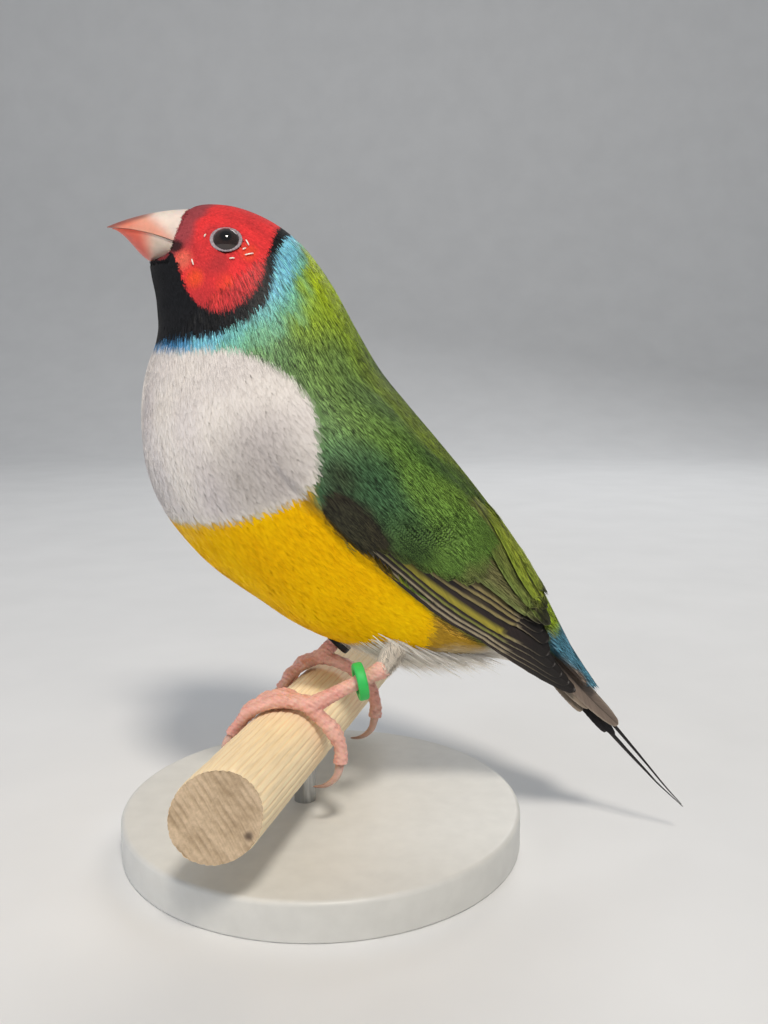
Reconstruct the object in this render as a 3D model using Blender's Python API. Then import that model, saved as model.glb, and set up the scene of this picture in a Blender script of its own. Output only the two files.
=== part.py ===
"""Gouldian finch, life size, perched on a short fluted dowel over a plain round stand.

The bird faces -X and its left side faces -Y. The origin is the centre of the stand's underside.
The body is one loft that thin cuts part into head, neck, torso and tail. Wings and tail carry
their flight feathers as overlapping vanes, and the feet grip the dowel.
"""

import math

import bmesh
import bpy
import numpy as np
from mathutils import Matrix, Vector

MM = 0.001
GAP = 0.3 * MM
LEFT, RIGHT = -1, 1
SIDES = {"left": LEFT, "right": RIGHT}
UP = np.array((0.0, 0.0, 1.0))

# Body sections, bill to tail: back x and z, underside x and z, half width
BODY_SECTIONS = MM * np.array([
    (-18.7, 99.4, -25.5, 91.7, 4.0),
    (-17.3, 99.8, -25.2, 90.4, 4.8),
    (-15.5, 99.9, -24.9, 88.7, 6.1),
    (-12.6, 99.6, -24.4, 86.2, 7.6),
    (-9.6, 98.7, -24.2, 83.6, 8.7),
    (-6.5, 97.2, -24.2, 81.2, 9.4),
    (-3.6, 95.1, -24.8, 78.6, 10.2),
    (-0.8, 92.1, -26.0, 75.4, 11.6),
    (2.4, 87.5, -26.8, 71.4, 13.6),
    (5.8, 81.3, -27.0, 66.0, 15.4),
    (9.4, 75.3, -26.3, 59.8, 16.4),
    (13.6, 70.1, -23.8, 53.6, 16.4),
    (18.2, 64.7, -19.2, 47.5, 15.6),
    (23.0, 58.9, -12.8, 41.1, 14.2),
    (27.6, 52.9, -4.6, 35.0, 12.4),
    (31.6, 47.0, 4.4, 31.2, 10.3),
    (34.8, 41.4, 14.0, 29.8, 8.3),
    (37.4, 36.4, 24.0, 30.6, 6.2),
    (39.8, 31.8, 31.8, 29.2, 4.6),
    (42.2, 27.6, 37.6, 26.0, 3.4),
    (44.2, 24.4, 41.4, 23.2, 2.6),
])
# The folded wing lies over the body, then passes the narrow tail base on sections of its own:
# back x and z, lower wing edge x and z, half width
WING_REAR_FROM = 16
WING_REAR = MM * np.array([
    (34.8, 41.4, 24.4, 35.6, 8.5),
    (37.4, 36.4, 29.4, 32.2, 7.3),
    (39.8, 31.8, 33.8, 29.0, 5.9),
    (42.2, 27.6, 37.6, 26.3, 4.8),
    (44.2, 24.4, 41.0, 23.6, 4.2),
])

# Where thin cuts part the body, counted in sections
NECK_CUT, TORSO_CUT, TAIL_CUT = 6.0, 8.2, 17.0
NECK_SHIFT, CUT_SHIFT = 0.065, 0.038
RINGS_PER_SECTION = 2

# Bill
FACE_TOP = MM * np.array((-18.75, 99.5))
FACE_LOW = MM * np.array((-21.55, 90.8))
MANDIBLE_SEAT = MM * np.array((-25.7, 91.2))
BILL_TIP = MM * np.array((-31.7, 96.7))
BILL_HALF_WIDTH = 4.0 * MM
NOSTRIL = MM * np.array((-20.0, 2.2, 98.6))
NOSTRIL_RADIUS = 0.36 * MM
CULMEN_HEIGHT, MOUTH_DROP, KEEL_DEPTH = 99.25 * MM, 2.5 * MM, 4.9 * MM
# How far the upper half's tip reaches past the lower one's
TIP_OVERHANG = 0.8 * MM

# Eyes
EYE_SECTION, EYE_ANGLE = 4.42, 62.5
EYE_RADIUS = 2.0 * MM
EYE_DEPTH = 1.25 * MM
LID_RADIUS, LID_THICKNESS = 1.98 * MM, 0.38 * MM

# Feathers
VANE_THICKNESS = 0.5 * MM
TIP_THICKNESS = 0.28 * MM

# Perch and stand
PERCH_RADIUS, FLUTE_DEPTH, FLUTES = 6.0 * MM, 0.28 * MM, 30
PERCH_MIDDLE = MM * np.array((-2.9, 0.0, 19.0))
PERCH_TURN = math.radians(14)
PERCH_FRONT, PERCH_BACK = 35.5 * MM, 38.0 * MM
SAW_SLANT, SAW_LEAN = math.radians(16), math.radians(12)
ROD_RADIUS, ROD_SOCKET = 1.75 * MM, 4.0 * MM
BASE_RADIUS, BASE_HEIGHT, BASE_CHAMFER = 32.0 * MM, 6.0 * MM, 0.8 * MM

# Legs and feet
FOOT_AXIAL = {"left": -10.3 * MM, "right": 10.3 * MM}
ANKLE_ANGLE = {"left": 56.0, "right": 92.0}
ANKLE_HEIGHT = 2.0 * MM
STUB_LENGTH = 2.0 * MM
HEEL = {"left": MM * np.array((9.8, -9.9, 31.0)), "right": MM * np.array((7.0, 11.6, 36.0))}
THIGH_TOP = {"left": MM * np.array((12.2, -6.4, 35.4)), "right": MM * np.array((11.0, 8.2, 40.2))}
THIGH_RADIUS, THIGH_NARROWING = 3.2 * MM, 1.3 * MM
TARSUS_RADIUS = 1.05 * MM
RING_PLACE = {"left": 0.38, "right": 0.82}
RING_AXIS = {"left": (0.963, 0.205, 0.174), "right": (0.70, 0.15, 0.70)}
RING_INNER, RING_OUTER, RING_WIDTH = 1.75 * MM, 2.9 * MM, 1.5 * MM


def clear_scene():
    for thing in list(bpy.context.scene.objects):
        bpy.data.objects.remove(thing, do_unlink=True)


def material(name, colour, roughness, metallic=0.0):
    made = bpy.data.materials.new(name)
    made.use_nodes = True
    shader = made.node_tree.nodes["Principled BSDF"]
    shader.inputs["Base Color"].default_value = (*colour, 1.0)
    shader.inputs["Roughness"].default_value = roughness
    shader.inputs["Metallic"].default_value = metallic
    return made


def make_materials():
    return {
        "mask": material("mask", (0.55, 0.02, 0.03), 0.7),
        "nape": material("nape", (0.08, 0.32, 0.42), 0.7),
        "plumage": material("plumage", (0.55, 0.42, 0.10), 0.7),
        "flight": material("flight", (0.10, 0.16, 0.06), 0.6),
        "tail": material("tail", (0.09, 0.08, 0.07), 0.6),
        "bill": material("bill", (0.80, 0.38, 0.30), 0.35),
        "eye": material("eye", (0.01, 0.008, 0.007), 0.05),
        "thigh": material("thigh", (0.62, 0.58, 0.52), 0.8),
        "leg": material("leg", (0.62, 0.28, 0.26), 0.5),
        "claw": material("claw", (0.42, 0.25, 0.20), 0.35),
        "green_ring": material("green_ring", (0.05, 0.55, 0.15), 0.35),
        "black_ring": material("black_ring", (0.02, 0.02, 0.02), 0.4),
        "perch": material("perch", (0.62, 0.48, 0.30), 0.7),
        "rod": material("rod", (0.6, 0.6, 0.6), 0.3, 1.0),
        "base": material("base", (0.6, 0.6, 0.58), 0.45),
    }


# Solids from points

def solid(name, points, faces, finish=None):
    """One mesh object, its faces as triangles that point outwards."""
    mesh = bpy.data.meshes.new(name)
    mesh.from_pydata([tuple(map(float, point)) for point in points], [], faces)
    shape = bmesh.new()
    shape.from_mesh(mesh)
    bmesh.ops.recalc_face_normals(shape, faces=shape.faces)
    if shape.calc_volume(signed=True) < 0:
        bmesh.ops.reverse_faces(shape, faces=shape.faces)
    shape.to_mesh(mesh)
    shape.free()
    thing = bpy.data.objects.new(name, mesh)
    bpy.context.scene.collection.objects.link(thing)
    if finish:
        mesh.materials.append(finish)
    return thing


def lofted(name, rings, finish=None):
    """A closed solid through rings of points, with a fan over each end."""
    rings = np.asarray(rings)
    count, around, _ = rings.shape
    points = list(rings.reshape(-1, 3)) + [rings[0].mean(axis=0), rings[-1].mean(axis=0)]
    faces = []
    for i in range(count - 1):
        for j in range(around):
            a, b = i * around + j, i * around + (j + 1) % around
            faces += [(a, b, b + around), (a, b + around, a + around)]
    first, last, end = count * around, count * around + 1, (count - 1) * around
    for j in range(around):
        following = (j + 1) % around
        faces += [(first, following, j), (last, end + j, end + following)]
    return solid(name, points, faces, finish)


def sheet_solid(name, inner, outer, finish=None):
    """A closed solid between two like grids of points, split into triangles alike on both."""
    rows, columns, _ = inner.shape
    points = np.concatenate([inner.reshape(-1, 3), outer.reshape(-1, 3)])
    shift = rows * columns
    faces = []
    for i in range(rows - 1):
        for j in range(columns - 1):
            a = i * columns + j
            b, c, d = a + 1, a + columns, a + columns + 1
            faces += [(a, d, b), (a, c, d)]
            faces += [(a + shift, b + shift, d + shift), (a + shift, d + shift, c + shift)]
    rim = [j for j in range(columns)]
    rim += [i * columns + columns - 1 for i in range(1, rows)]
    rim += [(rows - 1) * columns + j for j in range(columns - 2, -1, -1)]
    rim += [i * columns for i in range(rows - 2, 0, -1)]
    for k, a in enumerate(rim):
        b = rim[(k + 1) % len(rim)]
        faces += [(a, b, b + shift), (a, b + shift, a + shift)]
    return solid(name, points, faces, finish)


def keep_largest(mesh):
    """Triangles only, near-zero edges closed up, and all but the largest closed surface gone."""
    shape = bmesh.new()
    shape.from_mesh(mesh)
    bmesh.ops.triangulate(shape, faces=shape.faces)
    bmesh.ops.remove_doubles(shape, verts=shape.verts, dist=0.002 * MM)
    bmesh.ops.dissolve_degenerate(shape, edges=shape.edges, dist=0.001 * MM)
    bmesh.ops.triangulate(shape, faces=shape.faces)
    waiting, pieces = set(shape.faces), []
    while waiting:
        piece, edge_of = set(), [waiting.pop()]
        while edge_of:
            face = edge_of.pop()
            piece.add(face)
            for edge in face.edges:
                for other in edge.link_faces:
                    if other in waiting:
                        waiting.discard(other)
                        edge_of.append(other)
        pieces.append(piece)

    def volume(piece):
        corners = ([vert.co for vert in face.verts] for face in piece)
        return sum(a.dot(b.cross(c)) for a, b, c in corners)

    pieces.sort(key=volume)
    spare = [face for piece in pieces[:-1] for face in piece]
    bmesh.ops.delete(shape, geom=spare, context="FACES")
    loose = [vert for vert in shape.verts if not vert.link_faces]
    bmesh.ops.delete(shape, geom=loose, context="VERTS")
    shape.to_mesh(mesh)
    shape.free()


def combine(target, others, operation, solver="EXACT"):
    """Joins the others to the target, or cuts them from it, and removes them."""
    tools = bpy.data.collections.new("tools")
    bpy.context.scene.collection.children.link(tools)
    for other in others:
        bpy.context.scene.collection.objects.unlink(other)
        tools.objects.link(other)
    boolean = target.modifiers.new("combine", "BOOLEAN")
    boolean.operation = operation
    boolean.operand_type = "COLLECTION"
    boolean.collection = tools
    boolean.solver = solver
    graph = bpy.context.evaluated_depsgraph_get()
    made = bpy.data.meshes.new_from_object(target.evaluated_get(graph))
    target.modifiers.remove(boolean)
    finish = target.data.materials[0] if target.data.materials else None
    target.data = made
    keep_largest(made)
    made.materials.clear()
    if finish:
        made.materials.append(finish)
    for other in list(tools.objects):
        bpy.data.objects.remove(other, do_unlink=True)
    bpy.data.collections.remove(tools)
    return target


def join(target, others):
    return combine(target, others, "UNION", "MANIFOLD")


def cut(target, others):
    return combine(target, others, "DIFFERENCE")


def smooth(thing, sharp_angle=40):
    thing.data.shade_smooth()
    thing.data.set_sharp_from_angle(angle=math.radians(sharp_angle))
    return thing


def unit(vectors):
    vectors = np.asarray(vectors, float)
    return vectors / np.linalg.norm(vectors, axis=-1, keepdims=True)


# Curves and surfaces

def through(values, at):
    """A Catmull-Rom curve through evenly counted values."""
    values = np.asarray(values, float)
    at = np.asarray(at, float)
    last = len(values) - 1
    start = np.clip(np.floor(at).astype(int), 0, last - 1)
    t = (at - start)[..., None]
    p0, p1, p2, p3 = (values[np.clip(start + k, 0, last)] for k in (-1, 0, 1, 2))
    bend = (2 * p0 - 5 * p1 + 4 * p2 - p3) * t ** 2 + (3 * p1 - p0 - 3 * p2 + p3) * t ** 3
    return 0.5 * (2 * p1 + (p2 - p0) * t + bend)


def section_point(middle, arm, half_width, angle, side):
    x = middle[..., 0] + arm[..., 0] * np.cos(angle)
    z = middle[..., 1] + arm[..., 1] * np.cos(angle)
    return np.stack([x, side * half_width * np.sin(angle), z], axis=-1)


def body_surface(section, angle, side=LEFT):
    """A point of the body: angle 0 is the back's midline and 180 degrees the underside's."""
    values = through(BODY_SECTIONS, section)
    top, low = values[..., 0:2], values[..., 2:4]
    return section_point((top + low) / 2, (top - low) / 2, values[..., 4], angle, side)


def wing_surface(section, angle, side=LEFT):
    """The surface that the folded wing lies on: the body, then its own rear sections."""
    section = np.asarray(section, float)
    body = body_surface(section, angle, side)
    rear = through(WING_REAR, np.clip(section - WING_REAR_FROM, 0, len(WING_REAR) - 1))
    top, edge = rear[..., 0:2], rear[..., 2:4]
    behind = section_point(edge, top - edge, rear[..., 4], angle, side)
    mix = np.clip((section - WING_REAR_FROM + 0.8) / 0.8, 0, 1)[..., None]
    return body * (1 - mix) + behind * mix


def normal_of(surface, section, angle, side):
    step = 0.02
    along = surface(section + step, angle, side) - surface(section - step, angle, side)
    over = surface(section, angle + step, side) - surface(section, angle - step, side)
    return side * unit(np.cross(along, over))


def lifted(surface, section, angle, side, lift):
    """A point that far out from the surface."""
    section, angle = np.asarray(section, float), np.asarray(angle, float)
    lift = np.broadcast_to(lift, section.shape)[..., None]
    return surface(section, angle, side) + normal_of(surface, section, angle, side) * lift


def tube_rings(path, radii, sides, start_turn=0.0):
    """Rings round a path that don't twist. A radius is one number, or two for an oval."""
    path = np.asarray(path, float)
    tangents = unit(np.gradient(path, axis=0))
    across = unit(np.cross(tangents[0], (0.0, 1.0, 0.0)))
    rings = []
    for point, tangent, radius in zip(path, tangents, radii):
        across = unit(across - tangent * across.dot(tangent))
        second = np.cross(tangent, across)
        wide, high = np.broadcast_to(radius, 2)
        turn = start_turn + np.arange(sides) * 2 * math.pi / sides
        rings.append(point + high * np.outer(np.cos(turn), across)
                     + wide * np.outer(np.sin(turn), second))
    return rings


# Head, neck, torso

def body_rings(start, end, around, lift=0.0):
    count = max(2, round((end - start) * RINGS_PER_SECTION) + 1)
    angle = np.arange(around) * 2 * math.pi / around
    rings = []
    for section in np.linspace(start, end, count):
        places = np.full(around, section)
        if lift:
            rings.append(lifted(body_surface, places, angle, RIGHT, lift))
        else:
            rings.append(body_surface(places, angle, RIGHT))
    return rings


def side_prism(name, outline, half_width):
    """A prism across the body, from its outline in x and z."""
    outline = np.asarray(outline)
    rings = [np.stack([outline[:, 0], np.full(len(outline), y), outline[:, 1]], axis=1)
             for y in (-half_width, half_width)]
    return lofted(name, rings)


def eye_centre(side):
    place, angle = np.array(EYE_SECTION), np.radians(EYE_ANGLE)
    return lifted(body_surface, place, angle, side, -EYE_DEPTH)


def eye_axis(side):
    return normal_of(body_surface, np.array(EYE_SECTION), np.radians(EYE_ANGLE), side)


def ball(name, centre, radius, rows=12, finish=None):
    shape = bmesh.new()
    bmesh.ops.create_uvsphere(shape, u_segments=2 * rows, v_segments=rows, radius=radius)
    bmesh.ops.triangulate(shape, faces=shape.faces)
    mesh = bpy.data.meshes.new(name)
    shape.to_mesh(mesh)
    shape.free()
    mesh.transform(Matrix.Translation(Vector(centre)))
    thing = bpy.data.objects.new(name, mesh)
    bpy.context.scene.collection.objects.link(thing)
    if finish:
        mesh.materials.append(finish)
    return thing


def hoop(name, centre, axis, section_of, around, finish=None):
    """A closed hoop: section_of(turn) gives its section's points as (out, along) pairs."""
    axis = unit(axis)
    first = unit(np.cross(axis, UP))
    second = np.cross(axis, first)
    points, faces = [], []
    for k in range(around):
        turn = 2 * math.pi * k / around
        outward = first * math.cos(turn) + second * math.sin(turn)
        profile = section_of(turn)
        points += [centre + outward * out + axis * along for out, along in profile]
    size = len(profile)
    for k in range(around):
        for j in range(size):
            a, b = k * size + j, k * size + (j + 1) % size
            c = (k + 1) % around * size + j
            d = (k + 1) % around * size + (j + 1) % size
            faces += [(a, b, d), (a, d, c)]
    return solid(name, points, faces, finish)


def lid_section(turn):
    """The lid is a little oval, longer fore and aft."""
    radius = LID_RADIUS * (1 + 0.09 * math.cos(2 * turn))
    spin = [2 * math.pi * j / 6 for j in range(6)]
    return [(radius + LID_THICKNESS * math.cos(t), LID_THICKNESS * math.sin(t)) for t in spin]


def make_head(finish):
    head = lofted("head", body_rings(0.0, NECK_CUT - NECK_SHIFT, 30), finish)
    lids = [hoop("lid", eye_centre(side) + eye_axis(side) * EYE_DEPTH, eye_axis(side),
                 lid_section, 18) for side in SIDES.values()]
    join(head, lids)
    ahead = MM * np.array((-40.0, 0.0))
    front = [FACE_TOP + MM * np.array((0.35, 1.0)), FACE_LOW, MANDIBLE_SEAT,
             MANDIBLE_SEAT + ahead, FACE_TOP + ahead]
    tools = [side_prism("bill_seat", front, 12 * MM)]
    for side in SIDES.values():
        tools.append(ball("socket", eye_centre(side), EYE_RADIUS + GAP, 8))
    return smooth(cut(head, tools))


def make_neck(finish):
    rings = body_rings(NECK_CUT + NECK_SHIFT, TORSO_CUT - CUT_SHIFT, 32)
    return smooth(lofted("neck", rings, finish))


def make_torso(finish):
    rings = body_rings(TORSO_CUT + CUT_SHIFT, TAIL_CUT - CUT_SHIFT, 36)
    return smooth(lofted("torso", rings, finish))


def make_eyes(finish):
    for name, side in SIDES.items():
        smooth(ball("eye_" + name, eye_centre(side), EYE_RADIUS, 8, finish), 80)


# Bill

def mouth_height(share):
    """Height of the mouth line, from the gape at 0 to the tip at 1."""
    return BILL_TIP[1] - 0.15 * MM - MOUTH_DROP * (1 - share) ** 1.6


def bill_half(name, top_of, low_of, width_of, seat, finish):
    """One half of the bill as a loft of half rounds: seat gives x by height at its base."""
    rings = []
    spread = 11
    for share in (0.0, 0.12, 0.28, 0.45, 0.62, 0.78, 0.9, 0.97):
        top, low, width = top_of(share), low_of(share), width_of(share)
        turn = np.linspace(0, math.pi, spread)
        crown = name == "bill_upper"
        flat, round_edge = (low, top) if crown else (top, low)
        heights = flat + (round_edge - flat) * np.sin(turn) ** 0.8
        across = width * np.cos(turn)
        edge = np.stack([across, heights], axis=1)
        tip_x = BILL_TIP[0] + (0.0 if crown else TIP_OVERHANG)
        middle_x = (1 - share) * seat(heights) + share * tip_x
        rings.append(np.stack([middle_x, edge[:, 0], edge[:, 1]], axis=1))
    return lofted(name, rings, finish)


def seat_x(heights):
    """The bill's base lies a gap in front of the face."""
    share = (np.asarray(heights) - FACE_LOW[1]) / (FACE_TOP[1] - FACE_LOW[1])
    return FACE_LOW[0] + (FACE_TOP[0] - FACE_LOW[0]) * share - 1.15 * GAP


def make_bill(finish):
    mouth_gap = 0.75 * GAP

    def culmen(share):
        return BILL_TIP[1] + (CULMEN_HEIGHT - BILL_TIP[1]) * (1 - share ** 1.9)

    def upper_width(share):
        return BILL_HALF_WIDTH * (1 - share ** 1.5) + 0.22 * MM

    def lower_width(share):
        return (BILL_HALF_WIDTH - 0.35 * MM) * (1 - share ** 1.6) + 0.2 * MM

    def keel(share):
        depth = math.sin(min(1.0, (1 - share) / 0.68) * math.pi / 2) ** 1.6
        return BILL_TIP[1] - 0.3 * MM - KEEL_DEPTH * depth

    upper = bill_half("bill_upper", culmen, lambda s: mouth_height(s) + mouth_gap,
                      upper_width, seat_x, finish)
    lower = bill_half("bill_lower", lambda s: mouth_height(s) - mouth_gap, keel,
                      lower_width, seat_x, finish)
    pits = [ball("nostril", NOSTRIL * (1, side, 1), NOSTRIL_RADIUS, 6)
            for side in SIDES.values()]
    smooth(cut(upper, pits))
    smooth(lower)


# Wings and tail

def vane(path, normals, widths, tilt, curve=0.0, across=2, root_thickness=VANE_THICKNESS):
    """A feather's vane as a thin closed solid along a path.

    tilt turns it about its shaft, its second edge outwards. curve is one over the radius
    of the surface that it bends round.
    """
    path, normals = np.asarray(path), unit(normals)
    tangents = unit(np.gradient(path, axis=0))
    sideways = unit(np.cross(normals, tangents))
    places = np.linspace(-1, 1, across)
    share = np.linspace(0, 1, len(path))
    inner, outer = [], []
    for k, point in enumerate(path):
        lean = sideways[k] * math.cos(tilt) + normals[k] * math.sin(tilt)
        up = normals[k] * math.cos(tilt) - sideways[k] * math.sin(tilt)
        offset = places * widths[k] / 2
        row = point + np.outer(offset, lean) - np.outer(offset ** 2 * curve / 2, normals[k])
        half = (root_thickness + (TIP_THICKNESS - root_thickness) * share[k] ** 3) / 2
        inner.append(row - up * half)
        outer.append(row + up * half)
    return sheet_solid("vane", np.array(inner), np.array(outer))


def vane_shares(count):
    """Places along a vane, closer together towards its rounded tip."""
    return np.sin(np.linspace(0, math.pi / 2, count))


def vane_widths(width, share, root_share=0.6, tip_share=0.22):
    """Widths from a narrow root to a rounded tip."""
    swell = root_share + (1 - root_share) * np.minimum(1, share / 0.35)
    return width * swell * (tip_share + (1 - tip_share) * np.sqrt(1 - share ** 6))


def wing_vane(side, start, end, width, lifts, tilt_degrees, rows, across):
    """A vane on the folded wing, from one place (section, angle in degrees) to another.

    Its lower edge stands out over the vane below it. lifts are its inner edge's heights over
    the wing's surface, at its root and from its middle on.
    """
    share = vane_shares(rows)
    section = start[0] + (end[0] - start[0]) * share
    angle = np.radians(start[1] + (end[1] - start[1]) * share)
    widths = vane_widths(width, share)
    tilt = math.radians(tilt_degrees)
    lift = lifts[0] + (lifts[1] - lifts[0]) * np.minimum(1, share / 0.5)
    rise = lift + widths / 2 * math.sin(abs(tilt)) + VANE_THICKNESS / 2
    path = lifted(wing_surface, section, angle, side, rise)
    normals = normal_of(wing_surface, section, angle, side)
    reach = wing_surface(section, np.full(rows, math.pi / 2), side)
    curve = 0.7 / max(abs(reach[:, 1]).mean(), 5 * MM)
    return vane(path, normals, widths, side * tilt, curve, across)


# The pad under the coverts: its first and last section, its middle line's angles from front
# to back, half its span in degrees, how far back the wing's bend lies, and thicknesses
PAD_FRONT, PAD_BACK = 9.7, 15.8
PAD_MIDDLE = ((64.0,), (60.0,), (58.0,), (57.0,), (56.0,), (54.0,), (54.0,))
PAD_HALF_SPAN, PAD_END_SPAN = 28.5, 2.5
PAD_BEND = 1.2
PAD_EDGE, PAD_SWELL = 0.6 * MM, 1.3 * MM
PAD_LIFT = 1.25 * GAP

# Rows of vanes on the folded wing, each from its lowest vane to its uppermost: how many, guide
# places of roots and of tips as (section, angle), widths in mm, heights over the wing in gaps
# (at the root and from the middle on), tilt in degrees, and points along and across a vane
WING_ROWS = (
    # Primaries
    (8, ((12.9, 76.0), (13.9, 54.0)),
     ((18.75, 88.0), (18.6, 77.5), (17.65, 67.5), (16.75, 57.0)),
     ((4.0,), (3.5,)), ((1.5, 1.2), (1.5, 1.2)), 17, 6, 2),
    # Secondaries
    (4, ((13.8, 55.0), (14.0, 43.0)), ((16.75, 55.0), (16.45, 43.0)),
     ((4.2,), (4.2,)), ((1.6, 1.9), (1.6, 1.9)), 14, 5, 2),
    # Tertials
    (3, ((13.3, 48.0), (13.0, 36.0)), ((16.7, 49.0), (15.9, 31.0)),
     ((5.2,), (4.6,)), ((2.4, 3.4), (2.4, 2.4)), 11, 6, 3),
    # Greater coverts
    (7, ((12.3, 76.0), (12.6, 57.0), (12.3, 38.0)),
     ((13.6, 79.0), (14.75, 58.0), (13.6, 37.0)),
     ((4.2,), (4.2,)), ((2.2, 3.8), (2.2, 3.8)), 11, 5, 2),
)


def wing_pad(name, side, finish):
    """The arm and the folded bases of the feathers, under the coverts."""
    rows, columns = 11, 7
    place = np.linspace(-1, 1, columns)
    inner, outer = [], []
    for k in range(rows):
        share = (1 - math.cos(math.pi * k / (rows - 1))) / 2
        middle = through(PAD_MIDDLE, share * (len(PAD_MIDDLE) - 1))[0]
        round_end = (1 - abs(2 * share - 1) ** 2.6) ** 0.5
        angle = np.radians(middle + (PAD_HALF_SPAN * round_end + PAD_END_SPAN) * place)
        section = PAD_FRONT + (PAD_BACK - PAD_FRONT) * share
        section = section + PAD_BEND * (1 - share) * np.maximum(0, place)
        thick = PAD_EDGE + PAD_SWELL * round_end * (1 - place ** 2) ** 0.5
        inner.append(lifted(wing_surface, section, angle, side, PAD_LIFT))
        outer.append(lifted(wing_surface, section, angle, side, PAD_LIFT + thick))
    return sheet_solid(name, np.array(inner), np.array(outer), finish)


def wing_vanes(side):
    vanes = []
    for count, roots, tips, widths, heights, tilt, rows, across in WING_ROWS:
        for share in np.linspace(0, 1, count):
            root, tip, width, lifts = (
                through(guides, share * (len(guides) - 1))
                for guides in (roots, tips, widths, heights))
            vanes.append(wing_vane(side, root, tip, width[0] * MM, lifts * GAP, tilt,
                                   rows, across))
    return vanes


def make_wings(finish):
    for name, side in SIDES.items():
        pad = wing_pad("wing_" + name, side, finish)
        smooth(join(pad, wing_vanes(side)), 30)


TAIL_ROOT = MM * np.array((33.5, 0.0, 33.5))
TAIL_ALONG = unit((0.635, 0.0, -0.773))
TAIL_UP = unit((0.773, 0.0, 0.635))
# One side's tail feathers, centre pair first: length, width, offset to the side, height
TAIL_FEATHERS = MM * np.array([
    (38.3, 3.6, 1.0, 2.0),
    (23.6, 4.2, 1.7, 1.55),
    (20.6, 4.2, 2.3, 1.1),
    (18.0, 4.0, 2.8, 0.65),
    (15.9, 3.8, 3.2, 0.2),
    (13.9, 3.6, 3.5, -0.25),
])
TAIL_ROOT_START = 3.0 * MM
PIN_START, PIN_WIDTH = 0.5, 0.75 * MM
# The feathers slope like a roof, the outer ones more: degrees
ROOF_SLOPE, ROOF_STEP = 24, 3
# Where the coverts over and under the tail come together
COVERT_END = 16.0 * MM


def tail_vane(index, side):
    length, width, offset, height = TAIL_FEATHERS[index]
    pin = index == 0
    share = np.array((0.0, 0.2, 0.4, 0.52, 0.66, 1.0)) if pin else vane_shares(5)
    reach = TAIL_ROOT_START + (length - TAIL_ROOT_START) * share
    fan = 0.5 + 0.5 * np.minimum(1, reach / (13 * MM))
    if pin:
        narrowing = np.clip((PIN_START + 0.12 - share) / 0.2, 0, 1)
        widths = PIN_WIDTH * (1 - 0.45 * share) + (width - PIN_WIDTH) * narrowing
        fan = fan * (1 - 0.35 * share)
    else:
        widths = vane_widths(width, share, 0.5, 0.3)
    path = (TAIL_ROOT + np.outer(reach, TAIL_ALONG) + np.outer(offset * fan, (0, side, 0))
            + height * TAIL_UP)
    normals = np.tile(TAIL_UP, (len(share), 1))
    roof = math.radians(ROOF_SLOPE + ROOF_STEP * index)
    return vane(path, normals, widths, -side * roof, 0.0, 2)


def make_tail(finish):
    rings = body_rings(TAIL_CUT + CUT_SHIFT, 20.0, 20)
    seat = TAIL_ROOT + TAIL_ALONG * COVERT_END + TAIL_UP * 1.2 * MM
    rings.append(seat + (rings[-1] - rings[-1].mean(axis=0)) * 0.3)
    tail = lofted("tail", rings, finish)
    vanes = [tail_vane(k, side) for k in range(len(TAIL_FEATHERS)) for side in SIDES.values()]
    return smooth(join(tail, vanes), 30)


# Perch

PERCH_ALONG = np.array((math.sin(PERCH_TURN), math.cos(PERCH_TURN), 0.0))
PERCH_ACROSS = np.array((math.cos(PERCH_TURN), -math.sin(PERCH_TURN), 0.0))


def round_perch(axial, angle_degrees, radius):
    """A point round the perch: angle 0 is its +X side and 90 its top."""
    angle = np.radians(angle_degrees)
    outward = (np.multiply.outer(np.cos(angle), PERCH_ACROSS)
               + np.multiply.outer(np.sin(angle), UP))
    return (PERCH_MIDDLE + np.multiply.outer(axial, PERCH_ALONG)
            + np.asarray(radius)[..., None] * outward)


def make_perch(finish):
    points_per_flute = 2
    around = FLUTES * points_per_flute
    turn = np.arange(around) * 360 / around
    crest = (1 + np.cos(np.radians(turn * FLUTES))) / 2
    radius = PERCH_RADIUS - FLUTE_DEPTH * (1 - crest)
    across = radius * np.cos(np.radians(turn))
    height = radius * np.sin(np.radians(turn))
    near = -PERCH_FRONT + across * math.tan(SAW_SLANT) + height * math.tan(SAW_LEAN)
    far = np.full(around, PERCH_BACK)
    rings = [np.stack([round_perch(a, t, r) for a, t, r in zip(end, turn, radius)])
             for end in (near, far)]
    perch = lofted("perch", rings, finish)
    top = PERCH_MIDDLE[2] - PERCH_RADIUS + ROD_SOCKET
    hole = upright("hole", ROD_RADIUS + GAP, 0.0, top, PERCH_MIDDLE)
    return smooth(cut(perch, [hole]), 25)


def upright(name, radius, low, high, place, finish=None, around=32):
    turn = np.arange(around) * 2 * math.pi / around
    rings = [np.stack([place[0] + radius * np.cos(turn), place[1] + radius * np.sin(turn),
                       np.full(around, z)], axis=1) for z in (low, high)]
    return lofted(name, rings, finish)


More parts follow.
